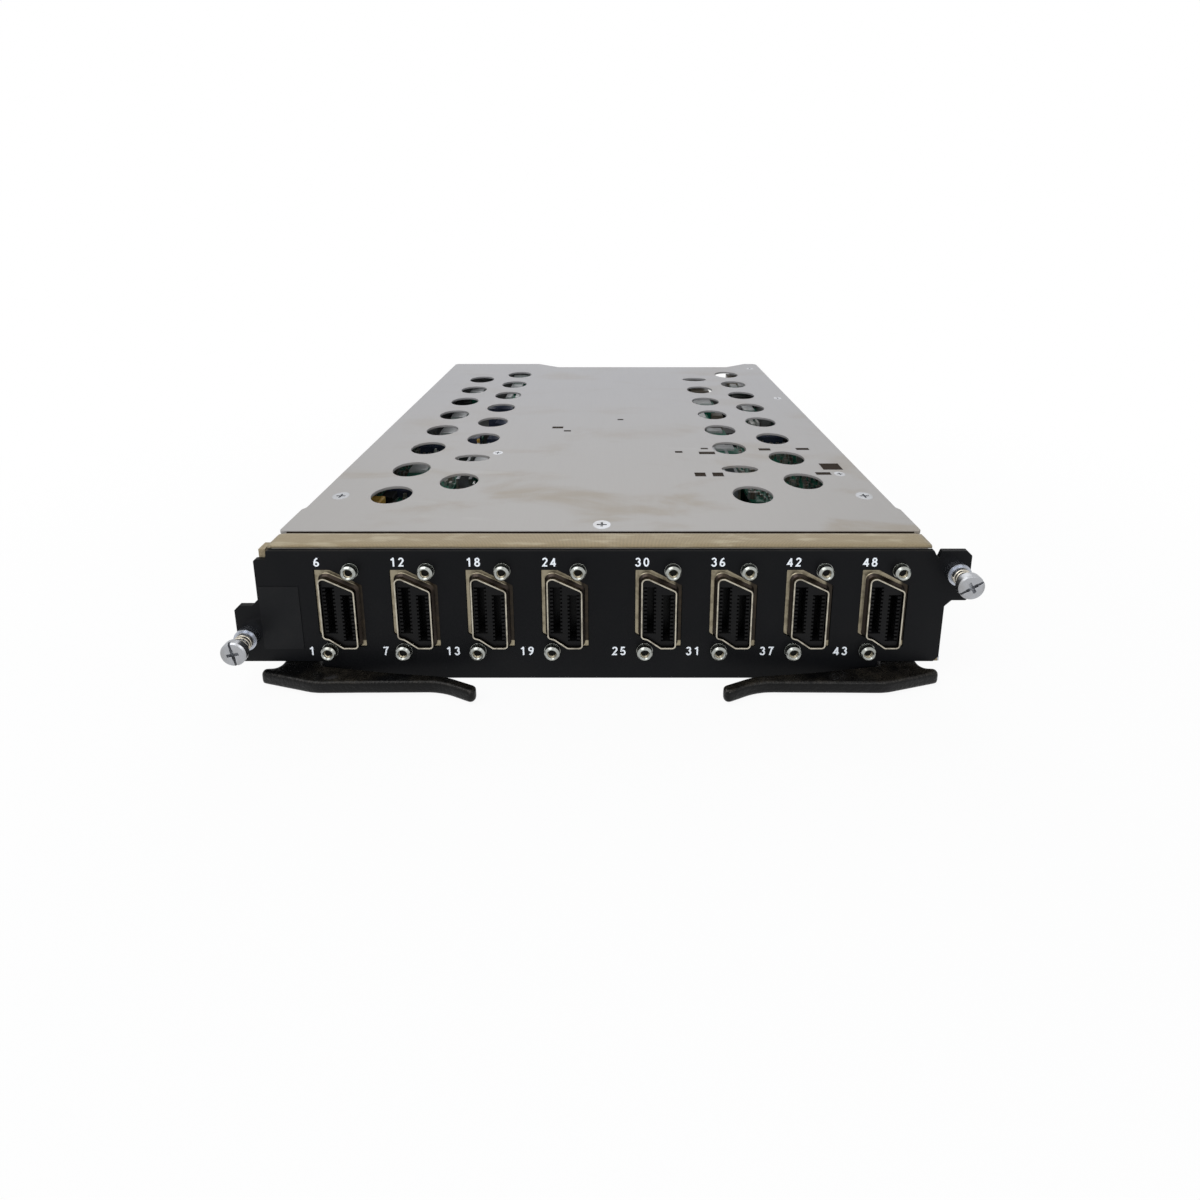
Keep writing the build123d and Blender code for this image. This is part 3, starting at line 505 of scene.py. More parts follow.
def finish_piece(name, bm, material, body="card", smooth=False):
    """A piece modelled in millimetres becomes an object in metres that rides on a body."""
    bmesh.ops.scale(bm, vec=(MM, MM, MM), verts=bm.verts)
    for face in bm.faces:
        face.smooth = smooth
    mesh = bpy.data.meshes.new(name)
    bm.to_mesh(mesh)
    bm.free()
    piece = bpy.data.objects.new(name, mesh)
    bpy.context.scene.collection.objects.link(piece)
    mesh.materials.append(MATERIALS[material])
    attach(piece, body)
    return piece


def close_ends(bm):
    """Fills the open ends of a swept form and turns all its faces outwards."""
    bmesh.ops.holes_fill(bm, edges=[e for e in bm.edges if e.is_boundary])
    bmesh.ops.recalc_face_normals(bm, faces=bm.faces)


def middle(node):
    """Centre of a node's box, in millimetres."""
    low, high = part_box(node)
    return (Vector(low) + Vector(high)) / 2 / MM


# Digits on a field one high: a stroke is made of points (x, y) and arcs (x, y, width, height, from, to)
STROKES = {
    "0": (((0.3, 0.5, 0.215, 0.425, 90, 450),),),
    "1": (((0.36, 0.0), (0.36, 1.0)), ((0.1, 0.765), (0.25, 0.8), (0.36, 0.96))),
    "2": (((0.3, 0.71, 0.205, 0.215, 170, -28), (0.1, 0.08), (0.53, 0.08)),),
    "3": (((0.29, 0.73, 0.185, 0.195, 165, -90),), ((0.29, 0.3, 0.215, 0.235, 90, -165),)),
    "4": (((0.41, 0.0), (0.41, 0.93)), ((0.41, 0.93), (0.06, 0.28), (0.58, 0.28))),
    "5": (((0.51, 0.925), (0.17, 0.925), (0.12, 0.5), (0.29, 0.315, 0.215, 0.245, 130, -155)),),
    "6": (((0.47, 0.93), (0.34, 0.88), (0.21, 0.73), (0.12, 0.52), (0.09, 0.3)),
          ((0.3, 0.285, 0.21, 0.21, 180, 540),)),
    "7": (((0.06, 0.925), (0.53, 0.925), (0.36, 0.6), (0.23, 0.0)),),
    "8": (((0.3, 0.735, 0.175, 0.19, 90, 450),), ((0.3, 0.29, 0.215, 0.22, 90, 450),)),
    "9": (((0.13, 0.07), (0.26, 0.12), (0.39, 0.27), (0.48, 0.48), (0.51, 0.7)),
          ((0.3, 0.715, 0.21, 0.21, 0, 360),)),
}
STROKE_WIDTH = 0.165
DIGIT_STEP = 0.86
INK_LAYER = 0.004  # strokes that cross lie this much over each other


def stroke_points(stroke):
    """Points along a stroke, with its arcs split into short steps."""
    points = []
    for item in stroke:
        if len(item) == 2:
            points.append(Vector(item))
            continue
        x, y, wide, tall, start, end = item
        steps = max(6, round(abs(end - start) / 15))
        for k in range(steps + 1):
            angle = math.radians(start + (end - start) * k / steps)
            points.append(Vector((x + wide * math.cos(angle), y + tall * math.sin(angle))))
    return points


def ink_stroke(bm, points, width, place_at):
    """A flat band of even width drawn along the points."""
    edge = None
    for k, point in enumerate(points):
        before = (point - points[k - 1]).normalized() if k else None
        after = (points[k + 1] - point).normalized() if k + 1 < len(points) else before
        before = before or after
        along = (before + after).normalized()
        across = Vector((-along.y, along.x)) * (width / 2 / max(0.5, along.dot(after)))
        ends = [place_at @ Vector((*(point + across), 0)), place_at @ Vector((*(point - across), 0))]
        if edge is None:
            edge = bm.edges.new([bm.verts.new(end) for end in ends])
            last = list(edge.verts)
        else:
            made = bmesh.ops.extrude_edge_only(bm, edges=[edge])["geom"]
            edge = next(g for g in made if isinstance(g, bmesh.types.BMEdge) and not any(v in last for v in g.verts))
            new = sorted(edge.verts, key=lambda v: (v.co - last[0].co).length)
            for vert, end in zip(new, ends):
                vert.co = end
            last = new


class LINECARD_OT_numbers(bpy.types.Operator):
    """Prints the port numbers on the faceplate"""
    bl_idname = "line_card.numbers"
    bl_label = "Port Numbers"

    def execute(self, context):
        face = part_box("faceplate")[0][1] / MM
        height = context.scene.card_sizes.number_height / MM
        bm = bmesh.new()
        for port in PORTS:
            x = middle(f"port_block_{port}").x
            first, last = str(6 * port - 5), str(6 * port)
            upper = -6.0 if len(last) == 1 else (-4.6 if port < 5 else -5.1)
            lower = -10.0 if len(first) == 1 else -12.0
            for text, dx, z in ((last, upper, 17.5), (first, lower, -12.6)):
                left = x + dx - height * (0.3 + DIGIT_STEP / 2 * (len(text) - 1))
                for k, digit in enumerate(text):
                    for layer, stroke in enumerate(STROKES[digit]):
                        corner = (left + k * DIGIT_STEP * height, face - 0.012 - INK_LAYER * layer, z - height / 2)
                        place_at = (Matrix.Translation(corner) @ Matrix.Rotation(math.pi / 2, 4, "X")
                                    @ Matrix.Scale(height, 4))
                        ink_stroke(bm, stroke_points(stroke), STROKE_WIDTH, place_at)
        bmesh.ops.solidify(bm, geom=bm.faces[:], thickness=0.01)
        bmesh.ops.recalc_face_normals(bm, faces=bm.faces)
        finish_piece("port_numbers", bm, "number_print")
        return {"FINISHED"}


# Edges of the blank label, in millimetres
LABEL_RIGHT, LABEL_BOTTOM, LABEL_TOP = -91.2, -11.8, 9.4


class LINECARD_OT_label(bpy.types.Operator):
    """Lays the blank label film on the left end of the faceplate"""
    bl_idname = "line_card.label"
    bl_label = "Blank Label"

    def execute(self, context):
        low, high = (Vector(corner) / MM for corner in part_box("blank_label"))
        label = finish_piece("label_sheet", standing_boxes([(
            (low.x + LABEL_RIGHT) / 2, (low.y + high.y) / 2, LABEL_BOTTOM, LABEL_RIGHT - low.x, high.y - low.y,
            LABEL_TOP - LABEL_BOTTOM)]), "label_film")
        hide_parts("blank_label")
        return {"FINISHED"}


LEVER_GRAIN = 0.35  # size of the remeshed faces, in millimetres
LEVER_SMOOTHING = 14


class LINECARD_OT_levers(bpy.types.Operator):
    """Rounds the cast ejector levers all over"""
    bl_idname = "line_card.levers"
    bl_label = "Ejector Levers"

    def execute(self, context):
        for side in SIDES:
            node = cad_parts[f"ejector_lever_{side}"]
            bm = bmesh.new()
            bm.from_mesh(node.data)
            bmesh.ops.remove_doubles(bm, verts=bm.verts, dist=0.000001)
            mesh = bpy.data.meshes.new("lever")
            bm.to_mesh(mesh)
            bm.free()
            rough = bpy.data.objects.new("lever", mesh)
            context.scene.collection.objects.link(rough)
            even = rough.modifiers.new("even", "REMESH")
            even.mode, even.voxel_size = "VOXEL", LEVER_GRAIN * MM
            soft = rough.modifiers.new("soft", "SMOOTH")
            soft.factor, soft.iterations = 0.5, LEVER_SMOOTHING
            shaped = bpy.data.meshes.new_from_object(rough.evaluated_get(context.evaluated_depsgraph_get()))
            bpy.data.objects.remove(rough)
            bm = bmesh.new()
            bm.from_mesh(shaped)
            bpy.data.meshes.remove(shaped)
            bmesh.ops.scale(bm, vec=(1 / MM, 1 / MM, 1 / MM), verts=bm.verts)
            lever = finish_piece(f"cast_lever_{side}", bm, "lever_paint", f"ejector_{side}", smooth=True)
            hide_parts(f"ejector_lever_{side}")
        return {"FINISHED"}


def ring(bm, points):
    """A closed loop of edges through the points."""
    verts = [bm.verts.new(point) for point in points]
    return [bm.edges.new((a, b)) for a, b in zip(verts, verts[1:] + verts[:1])]


def wind(bm, edges, centre, rise, turns, steps):
    """Sweeps a loop of edges round an axis along Y and gives its last place."""
    made = bmesh.ops.spin(bm, geom=edges + list({v for e in edges for v in e.verts}), cent=centre, axis=(0, 1, 0),
                          dvec=(0, rise / steps, 0), angle=math.tau * turns, steps=steps)["geom_last"]
    return [g for g in made if isinstance(g, bmesh.types.BMEdge)]


# Section of the gasket: shares of its depth and height
GASKET_SECTION = ((0.02, 0.0), (0.0, 0.45), (0.03, 0.8), (0.08, 0.96), (0.25, 1.0), (0.45, 0.99), (0.65, 1.0),
                  (0.82, 0.95), (0.92, 0.72), (0.97, 0.35), (0.97, 0.0))
GASKET_STEPS = 120


class LINECARD_OT_gasket(bpy.types.Operator):
    """Lays the woven top gasket on the tray's lip, crowned and a little uneven"""
    bl_idname = "line_card.gasket"
    bl_label = "Top Gasket"

    def execute(self, context):
        low, high = (Vector(corner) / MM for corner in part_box("top_gasket"))
        depth, height = high.y - low.y, high.z - low.z
        bm = bmesh.new()
        edges = ring(bm, [(low.x, low.y + v * depth, low.z + w * height) for v, w in GASKET_SECTION])
        for step in range(GASKET_STEPS):
            made = bmesh.ops.extrude_edge_only(bm, edges=edges)["geom"]
            verts = [g for g in made if isinstance(g, bmesh.types.BMVert)]
            edges = [g for g in made if isinstance(g, bmesh.types.BMEdge) and all(v in verts for v in g.verts)]
            bmesh.ops.translate(bm, vec=((high.x - low.x) / GASKET_STEPS, 0, 0), verts=verts)
        close_ends(bm)
        for v in bm.verts:
            lift = (v.co.z - low.z) / height
            wave = math.sin(v.co.x * 0.11) * 0.5 + math.sin(v.co.x * 0.047 + 1.3) * 0.5
            if v.co.y > low.y + depth * 0.85:
                v.co.y -= 0.16 * (1 - wave)
            v.co.z -= 0.07 * lift * (1 + wave) + (0.25 * lift if abs(v.co.x) > high.x - 0.9 else 0)
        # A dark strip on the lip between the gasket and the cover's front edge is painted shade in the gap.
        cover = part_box("top_cover")[0][1] / MM
        finish_piece("cover_gap_shade", standing_boxes([(0, (high.y + cover) / 2 + 0.05, low.z, 2 * high.x - 3.0,
                                                   cover - high.y - 0.14, 0.8)]), "painted_shade")
        gasket = finish_piece("woven_gasket", bm, "gasket_fabric", smooth=True)
        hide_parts("top_gasket")
        return {"FINISHED"}


WIRE_SIDES, TURN_STEPS = 12, 30


class LINECARD_OT_springs(bpy.types.Operator):
    """Winds the round-wire springs of the captive screws"""
    bl_idname = "line_card.springs"
    bl_label = "Springs"

    def execute(self, context):
        sizes = context.scene.card_sizes
        wire = sizes.wire / MM / 2
        for side in SIDES:
            node = f"screw_spring_{side}"
            low, high = (Vector(corner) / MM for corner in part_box(node))
            centre = (low + high) / 2
            radius = (high.x - low.x) / 2 - wire
            length = high.y - low.y - 2 * wire
            seat = 2 * wire * 1.05
            bm = bmesh.new()
            edges = ring(bm, [(centre.x + radius + wire * math.cos(a), low.y + wire + wire * math.sin(a), centre.z)
                              for a in (math.tau * k / WIRE_SIDES for k in range(WIRE_SIDES))])
            for turns, rise in ((0.8, seat * 0.8), (sizes.spring_turns - 1.6, length - seat * 1.6), (0.8, seat * 0.8)):
                edges = wind(bm, edges, (centre.x, 0, centre.z), rise, turns, round(turns * TURN_STEPS))
            close_ends(bm)
            spring = finish_piece(f"coil_spring_{side}", bm, "spring_wire", smooth=True)
            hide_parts(node)
        return {"FINISHED"}


# Jack sockets of a port: X from its middle, and Z
JACKS = ((4.1, 14.9), (-4.1, -12.1))
THREAD_OUTER, THREAD_INNER, THREAD_PITCH, THREAD_TURNS = 1.31, 1.06, 0.55, 6


class LINECARD_OT_threads(bpy.types.Operator):
    """Cuts a visible thread into each jack socket"""
    bl_idname = "line_card.threads"
    bl_label = "Jack Threads"

    def execute(self, context):
        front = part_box("jack_sockets")[0][1] / MM
        threads, bore_shades = bmesh.new(), bmesh.new()
        for port in PORTS:
            for dx, z in JACKS:
                x = middle(f"port_block_{port}").x + dx
                edges = ring(threads, [(x + radius, front + 0.3 + k * 0.25, z) for k, radius in
                                       enumerate((THREAD_OUTER, THREAD_INNER, THREAD_OUTER))])
                wind(threads, edges, (x, 0, z), THREAD_PITCH * THREAD_TURNS, THREAD_TURNS, 18 * THREAD_TURNS)
                # A dark closed cup inside each bore is painted shade for the deep threaded hole.
                bmesh.ops.create_cone(bore_shades, cap_ends=True, segments=24, radius1=1.27, radius2=1.27, depth=3.0,
                                      matrix=Matrix.Translation((x, front + 2.6, z))
                                      @ Matrix.Rotation(math.pi / 2, 4, "X"))
        close_ends(threads)
        finish_piece("jack_threads", threads, "bore_steel")
        finish_piece("jack_bore_shades", bore_shades, "bore_shade")
        return {"FINISHED"}


BOARD_NODES = (
    "line_transformers", "memory_chips", "power_modules", "inductors", "tantalum_capacitors", "can_capacitors",
    "film_capacitors", "switch_chip_1", "switch_chip_2", "support_posts", "power_plug",
    *(f"signal_plug_{plug}" for plug in (1, 2, 3)), *(f"guide_block_{side}" for side in SIDES),
    *(f"port_block_{port}" for port in PORTS))


def taken_places(above=None):
    """Boxes in X and Y, with their top, of every face of the parts that stand on the board, in millimetres."""
    boxes = []
    for name in BOARD_NODES:
        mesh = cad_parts[name].data
        for polygon in mesh.polygons:
            xs, ys, zs = zip(*(mesh.vertices[i].co for i in polygon.vertices))
            boxes.append((min(xs) / MM, max(xs) / MM, min(ys) / MM, max(ys) / MM, max(zs) / MM))
    return [b for b in boxes if (b[1] - b[0] > 1.5 or b[3] - b[2] > 1.5) and (above is None or b[4] > above)]


def meets(mine, others):
    """True where a box in X and Y lies over one of the others."""
    return any(mine[0] < b[1] and mine[1] > b[0] and mine[2] < b[3] and mine[3] > b[2] for b in others)


def standing_boxes(boxes, edge=0.0):
    """One mesh of boxes standing on z, made in small lots because bevels slow down in a large mesh."""
    whole = bmesh.new()
    for start in range(0, len(boxes), 40):
        lot = bmesh.new()
        for x, y, z, width, length, height in boxes[start:start + 40]:
            made = bmesh.ops.create_cube(lot, size=1)["verts"]
            bmesh.ops.scale(lot, vec=(width, length, height), verts=made)
            bmesh.ops.translate(lot, vec=(x, y, z + height / 2), verts=made)
        if edge:
            lot.normal_update()
            upper = [e for e in lot.edges if any(f.normal.z > 0.5 for f in e.link_faces)]
            bmesh.ops.bevel(lot, geom=upper, offset=edge, segments=1, profile=0.5, affect="EDGES", material=-1)
        mesh = bpy.data.meshes.new("lot")
        lot.to_mesh(mesh)
        lot.free()
        whole.from_mesh(mesh)
        bpy.data.meshes.remove(mesh)
    return whole


# Kinds of small part: width, length, height and share
SMALL_PARTS = ((1.6, 0.8, 0.6, 0.34), (2.0, 1.25, 0.9, 0.3), (3.2, 1.6, 1.2, 0.16), (6.0, 5.0, 1.5, 0.12),
               (10.0, 7.0, 1.3, 0.08))
DENSE_PARTS = ((1.4, 0.8, 1.2, 0.32), (2.0, 1.25, 2.0, 0.3), (3.2, 1.6, 3.0, 0.14), (7.0, 5.0, 2.6, 0.24))
PART_GAP = 0.5
# Two raised boards beside the heat sinks: low X, high X, front, back
UPPER_BOARDS = ((-97.0, -65.2, 68.5, 148.0), (61.4, 97.0, 68.5, 148.0))
UPPER_Z, UPPER_THICKNESS = 1.5, 1.6
EYE = (3.3, -172.1, 119.2)
REAR_LIMIT = 220.0
CASE_HEIGHT = 1.4
VENT_X = (-74.5, -53.3, 53.8, 75.2)
VENT_RADIUS, VENT_FIRST, VENT_PITCH, VENT_STAGGER = 7.1, 35.0, 22.75, 11.6
# Taller parts by finish and by the hole they show through: column, row, place across and along the hole, then
# width, length and top
TALL_PARTS = {
    "module_metal": ((0, 1, 0.35, 0.35, 8, 7, 9), (0, 3, 0.45, 0.1, 8, 9, 12), (0, 4, 0.35, 0.1, 8, 8, 12.5),
        (0, 6, 0.3, 0.0, 8, 8, 13.5), (1, 1, 0.55, 0.0, 6, 10, 12), (1, 5, 0.1, 0.0, 3.4, 7, 14),
        (1, 5, 0.75, 0.0, 2.6, 7, 14), (1, 6, 0.25, 0.0, 7, 8, 14.5), (1, 7, 0.2, 0.1, 10, 4, 19.2),
        (2, 2, -0.25, 0.25, 9, 5, 8), (2, 3, -0.35, 0.15, 8, 5, 9), (2, 4, -0.75, 0.0, 4, 9, 12),
        (2, 5, -0.25, 0.1, 10, 8, 12.5), (3, 4, -0.15, 0.1, 6, 8, 12.5), (3, 6, 0.0, 0.0, 4, 8, 14),
        (3, 6, 0.6, 0.0, 3, 8, 14)),
    "transformer_plastic": ((0, 2, 0.1, 0.6, 13, 5, 7), (0, 0, 0.3, 0.75, 12, 5, 6), (1, 2, 0.6, 0.3, 6, 7, 8),
        (1, 2, -0.6, 0.45, 5, 6, 8), (1, 3, 0.6, 0.3, 7, 9, 10), (1, 4, 0.0, 0.3, 14, 9, 11),
        (3, 2, 0.0, 0.6, 14, 5, 7)),
    "tin": ((0, 2, 0.45, -0.1, 1.0, 1.0, 8), (1, 0, 0.8, -0.1, 0.9, 2.4, 9), (3, 3, -0.55, 0.2, 2.4, 8, 11),
        (3, 3, -0.15, 0.3, 1.2, 6, 11)),
    "chip_plastic": ((0, 5, -0.1, 0.0, 9, 6, 9), (3, 4, -0.75, 0.2, 2.5, 6, 12.5), (3, 5, 0.1, 0.0, 13, 9, 10),
        (3, 6, -0.7, 0.1, 4, 9, 14)),
    "capacitor_orange": ((1, 2, -0.3, -0.1, 1.3, 1.3, 8),),
    "ceramic": ((2, 4, 0.35, 0.1, 6, 5, 9), (2, 6, 0.0, 0.1, 11, 9, 13), (2, 7, 0.0, 0.0, 12, 6, 18),
        (3, 7, 0.5, 0.0, 7, 5, 19.3)),
}


# Small slots of the cover: X, Y, width and length
COVER_SLOTS = ((-21.5, 106.9, 5.1, 2.0), (-16.7, 102.1, 3.2, 1.0), (8.0, 118.4, 2.8, 1.0), (31.8, 75.9, 3.1, 1.2),
               (43.1, 79.8, 3.1, 1.0), (43.5, 74.8, 6.7, 2.2), (37.6, 52.6, 4.2, 3.0), (44.4, 52.6, 4.2, 3.0),
               (68.5, 78.9, 5.0, 2.0), (84.7, 79.3, 5.5, 1.6), (90.2, 60.3, 7.7, 5.6), (85.0, 53.5, 5.8, 1.8))


def scatter(seed, tries, most, kinds, area, floor, taken, allowed):
    """Small parts put at random on free places of a board: boxes of bodies, tin ends and chips, by piece."""
    pick = random.Random(seed)
    made = {"small_capacitors": [], "tin_ends": [], "small_chips": []}
    placed = []
    for _ in range(tries):
        share, kind = pick.random(), kinds[0]
        for entry in kinds:
            if share < entry[3]:
                kind = entry
                break
            share -= entry[3]
        width, length, height = kind[:3]
        if pick.random() < 0.5:
            width, length = length, width
        x, y = pick.uniform(area[0], area[1]), pick.uniform(area[2], area[3])
        if not allowed(x, y):
            continue
        across, along = width / 2 + PART_GAP, length / 2 + PART_GAP
        mine = (x - across, x + across, y - along, y + along)
        if meets(mine, taken) or meets(mine, placed):
            continue
        placed.append(mine)
        if len(placed) > most:
            break
        turn = (lambda a, b: (a, b)) if width > length else (lambda a, b: (b, a))
        long, short = max(width, length), min(width, length)
        if kind[0] >= 6:
            made["small_chips"].append((x, y, floor + 0.1, width, length, height))
            count = int(long)
            for k in range(count):
                for side in (-1, 1):
                    dx, dy = turn(k - (count - 1) / 2, (short / 2 + 0.35) * side)
                    made["tin_ends"].append((x + dx, y + dy, floor, *turn(0.45, 0.9), 0.25))
        else:
            made["small_capacitors"].append((x, y, floor + 0.02, width * 0.99, length * 0.99, height))
            for side in (-1, 1):
                dx, dy = turn(side * long * 0.4, 0)
                made["tin_ends"].append((x + dx, y + dy, floor, *turn(long * 0.24, short * 1.04), height * 1.05))
    return made


class LINECARD_OT_board_parts(bpy.types.Operator):
    """Sets the small chips, capacitors and resistors on the board"""
    bl_idname = "line_card.board_parts"
    bl_label = "Board Parts"

    def execute(self, context):
        low, high = (Vector(corner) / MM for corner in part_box("circuit_board"))
        lots = [scatter(7, 5200, 1300, SMALL_PARTS, (low.x + 3, high.x - 3, low.y + 22, high.y - 14), high.z,
                        taken_places(), lambda x, y: abs(x) >= 30 or y <= 60)]
        for seed, area in enumerate(UPPER_BOARDS):
            inside = (area[0] + 1, area[1] - 1, area[2] + 1, area[3] - 1)
            lots.append(scatter(20 + seed, 5000, 420, DENSE_PARTS, inside, UPPER_Z + UPPER_THICKNESS,
                                taken_places(UPPER_Z), lambda x, y: True))
        for name, edge, material in (("small_capacitors", 0.06, "ceramic"), ("tin_ends", 0, "solder"),
                                     ("small_chips", 0.12, "chip_plastic")):
            boxes = [box for lot in lots for box in lot[name]]
            finish_piece(name, standing_boxes(boxes, edge), material)
        finish_piece("upper_boards", standing_boxes(
            [((x0 + x1) / 2, (y0 + y1) / 2, UPPER_Z, x1 - x0, y1 - y0, UPPER_THICKNESS)
             for x0, x1, y0, y1 in UPPER_BOARDS]), "board_mask")
        finish_piece("tray_corners", standing_boxes(
            [(104.2, 1.0, -17.3, 3.4, 1.6, 1.7), (-99.0, 1.0, -17.3, 2.6, 1.6, 1.1)], 0.2), "ferrule_plating")
        finish_piece("upper_board_legs", standing_boxes(
            [(x + sx, y + sy, high.z, 1.6, 1.6, UPPER_Z - high.z) for x0, x1, y0, y1 in UPPER_BOARDS
             for x, sx in ((x0, 1.5), (x1, -1.5)) for y, sy in ((y0, 1.5), (y1, -1.5))]), "tin")
        return {"FINISHED"}


class LINECARD_OT_tall_parts(bpy.types.Operator):
    """Stands the taller parts on the board that show through the round holes"""
    bl_idname = "line_card.tall_parts"
    bl_label = "Tall Parts"

    def execute(self, context):
        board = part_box("circuit_board")[1][2] / MM
        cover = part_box("top_cover")[1][2] / MM
        eye = Vector(EYE)
        taken = taken_places()
        carriers = []
        for material, parts in TALL_PARTS.items():
            boxes = []
            for column, row, u, v, width, length, top in parts:
                hole = Vector((VENT_X[column] + u * VENT_RADIUS,
                               VENT_FIRST + row * VENT_PITCH + VENT_STAGGER * (column % 2) + v * VENT_RADIUS, cover))
                at = eye + (hole - eye) * ((eye.z - top) / (eye.z - cover))
                at.y = min(at.y, REAR_LIMIT - length / 2)
                mine = (at.x - width / 2, at.x + width / 2, at.y - length / 2, at.y + length / 2)
                under = [b[4] for b in taken if meets(mine, [b])] + [board]
                if meets(mine, UPPER_BOARDS):
                    under.append(UPPER_Z + UPPER_THICKNESS)
                base = max(z for z in under if z < top - 0.5)
                if material == "module_metal" and top - base > 2.5:
                    carriers.append((at.x + 0.8, at.y - 1.4, base, width + 1.8, length + 2.8,
                                     top - base - CASE_HEIGHT))
                    base = top - CASE_HEIGHT
                boxes.append((at.x, at.y, base, width, length, top - base))
            finish_piece(f"tall_{material}", standing_boxes(boxes, 0.25), material)
        finish_piece("case_carriers", standing_boxes(carriers), "board_mask")
        # Dark plates under the cover's slots, nearly flush with the sheet, and thin dark strips along their front and
        # back edges are painted shade for the dark inside.
        finish_piece("slot_shades", standing_boxes(
            [(x, y, cover - 2.6, width - 0.1, length - 0.1, 2.55) for x, y, width, length in COVER_SLOTS]), "painted_shade")
        finish_piece("slot_edge_shades", standing_boxes(
            [(x, y + side * (length / 2 + 0.16), cover - 0.3, width, 0.3, 0.31)
             for x, y, width, length in COVER_SLOTS for side in (-1, 1)]), "painted_shade")
        low, high = (Vector(corner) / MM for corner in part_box("film_capacitors"))
        finish_piece("capacitor_legs", standing_boxes(
            [(low.x + 2.6, low.y + y, board, 0.8, 0.8, 6.8) for y in (-2.5, 3.0)]), "tin")
        capacitors = finish_piece("moulded_capacitors", standing_boxes(
            [(low.x + 5.4, low.y + 0.2, board + 6.6, 7.2, 9.0, 17.0),
             (high.x - 3.25, high.y - 4.2, board, 6.4, 8.0, 20.0)], 0.6), "capacitor_orange")
        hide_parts("film_capacitors")
        return {"FINISHED"}


# Name, size, share of the lamp power, place and aim of each lamp
LAMPS = (("key_lamp", 0.9, 2.3, (-0.45, -0.35, 0.85), (0, 0.08, 0)),
         ("back_lamp", 0.9, 1.1, (0.0, 0.8, 0.7), (0, 0.1, 0)),
         ("front_lamp", 0.5, 0.8, (0.35, -0.8, 0.35), (0, 0, 0)))


def overlay(tree, share, plain, shown, output):
    """The shown shader takes the plain one's place by the share."""
    both = add(tree, "ShaderNodeMixShader", {0: share, 1: plain.outputs[0], 2: shown.outputs[0]})
    tree.links.new(both.outputs[0], tree.nodes[output].inputs["Surface"])


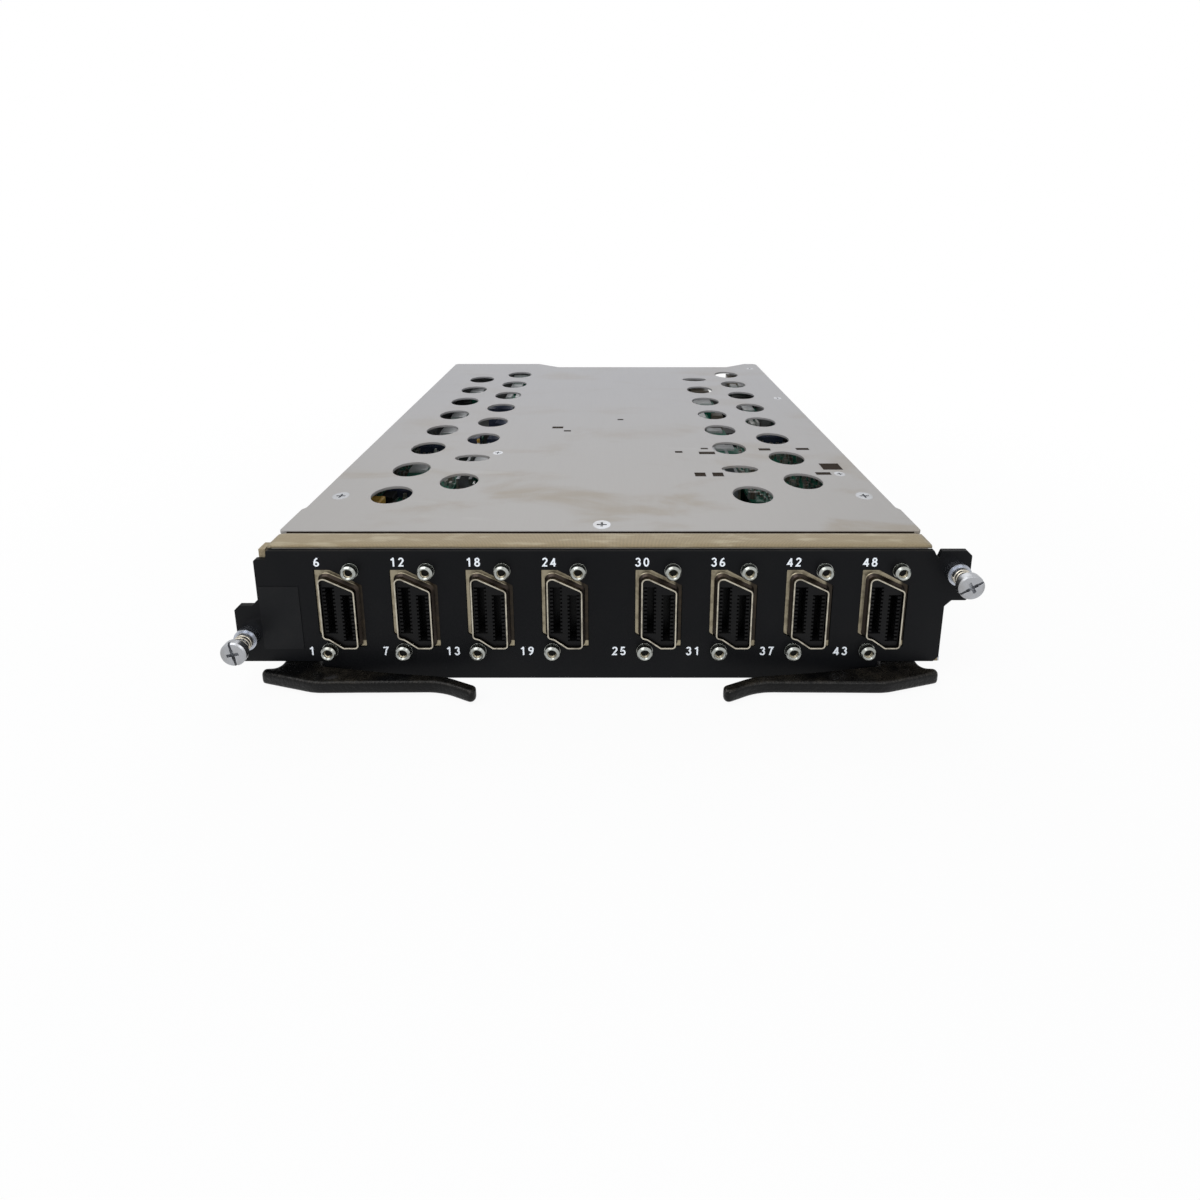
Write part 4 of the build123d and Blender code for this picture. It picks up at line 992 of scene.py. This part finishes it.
class LINECARD_OT_stage(bpy.types.Operator):
    """Sets up the floor, the lamps, the world and the camera"""
    bl_idname = "line_card.stage"
    bl_label = "Stage"

    def execute(self, context):
        stage = context.scene.card_stage
        scene = context.scene
        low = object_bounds()[0][2]
        bm = bmesh.new()
        bmesh.ops.create_grid(bm, x_segments=2, y_segments=2, size=40.0)
        mesh = bpy.data.meshes.new("floor")
        bm.to_mesh(mesh)
        bm.free()
        floor = bpy.data.objects.new("floor", mesh)
        floor.location.z = low - 0.0001
        scene.collection.objects.link(floor)
        floor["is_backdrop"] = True
        material = bpy.data.materials.new("floor")
        material.use_nodes = True
        tree = material.node_tree
        shader = tree.nodes["Principled BSDF"]
        shader.inputs["Base Color"].default_value = (*stage.floor, 1)
        shader.inputs["Roughness"].default_value = 0.9
        glow = add(tree, "ShaderNodeEmission", {"Color": (1, 1, 1, 1), "Strength": 1.0})
        ground = add(tree, "ShaderNodeTexCoord").outputs["Object"]
        away = add(tree, "ShaderNodeVectorMath", {0: ground}, operation="LENGTH").outputs["Value"]
        far = plus(tree, times(tree, ramp(tree, away, 0.12, 0.4), 0.07), 0.93)
        overlay(tree, times(tree, looked_at(tree), far), shader, glow, "Material Output")
        mesh.materials.append(material)

        world = bpy.data.worlds.new("studio")
        world.use_nodes = True
        scene.world = world
        tree = world.node_tree
        light = tree.nodes["Background"]
        light.inputs["Color"].default_value = (0.94, 0.96, 1.0, 1)
        light.inputs["Strength"].default_value = 0.42
        white = add(tree, "ShaderNodeBackground", {"Color": (1, 1, 1, 1), "Strength": 1.0})
        overlay(tree, looked_at(tree), light, white, "World Output")

        for name, size, power, place_at, aim in LAMPS:
            lamp = bpy.data.lights.new(name, "AREA")
            lamp.size, lamp.energy = size, stage.lamp_power * power
            holder = bpy.data.objects.new(name, lamp)
            holder.location = place_at
            holder.rotation_euler = (Vector(aim) - Vector(place_at)).to_track_quat("-Z", "Y").to_euler()
            scene.collection.objects.link(holder)

        lens = bpy.data.cameras.new("camera")
        lens.sensor_width, lens.lens = 36.0, stage.lens
        lens.shift_x, lens.shift_y = -0.009, -0.216
        lens.clip_start = 0.01
        camera = bpy.data.objects.new("camera", lens)
        camera.location = Vector(EYE) * MM
        camera.rotation_euler = (math.radians(78.7), 0, 0)
        scene.collection.objects.link(camera)
        scene.camera = camera
        scene.view_settings.view_transform = "Standard"
        return {"FINISHED"}


class LINECARD_PT_panel(bpy.types.Panel):
    """Sizes, colours and pieces of the line card"""
    bl_idname = "LINECARD_PT_panel"
    bl_label = "Line Card"
    bl_space_type = "VIEW_3D"
    bl_region_type = "UI"
    bl_category = "Line Card"

    def draw(self, context):
        for group in ("card_sizes", "card_colours", "card_stage"):
            values = getattr(context.scene, group)
            box = self.layout.box()
            for key in values.bl_rna.properties.keys():
                if key not in ("rna_type", "name"):
                    box.prop(values, key)
        for operator in STEPS:
            self.layout.operator(operator.bl_idname)


STEPS = (LINECARD_OT_finishes, LINECARD_OT_numbers, LINECARD_OT_label, LINECARD_OT_levers, LINECARD_OT_gasket,
         LINECARD_OT_springs, LINECARD_OT_threads, LINECARD_OT_board_parts, LINECARD_OT_tall_parts,
         LINECARD_OT_stage)
CLASSES = (CardSizes, CardColours, CardStage, *STEPS, LINECARD_PT_panel)


def register():
    for cls in CLASSES:
        bpy.utils.register_class(cls)
    bpy.types.Scene.card_sizes = bpy.props.PointerProperty(type=CardSizes)
    bpy.types.Scene.card_colours = bpy.props.PointerProperty(type=CardColours)
    bpy.types.Scene.card_stage = bpy.props.PointerProperty(type=CardStage)


def unregister():
    for key in ("card_sizes", "card_colours", "card_stage"):
        delattr(bpy.types.Scene, key)
    for cls in reversed(CLASSES):
        bpy.utils.unregister_class(cls)


def main():
    register()
    for operator in STEPS:
        group, name = operator.bl_idname.split(".")
        getattr(getattr(bpy.ops, group), name)()


if __name__ == "__main__":
    main()
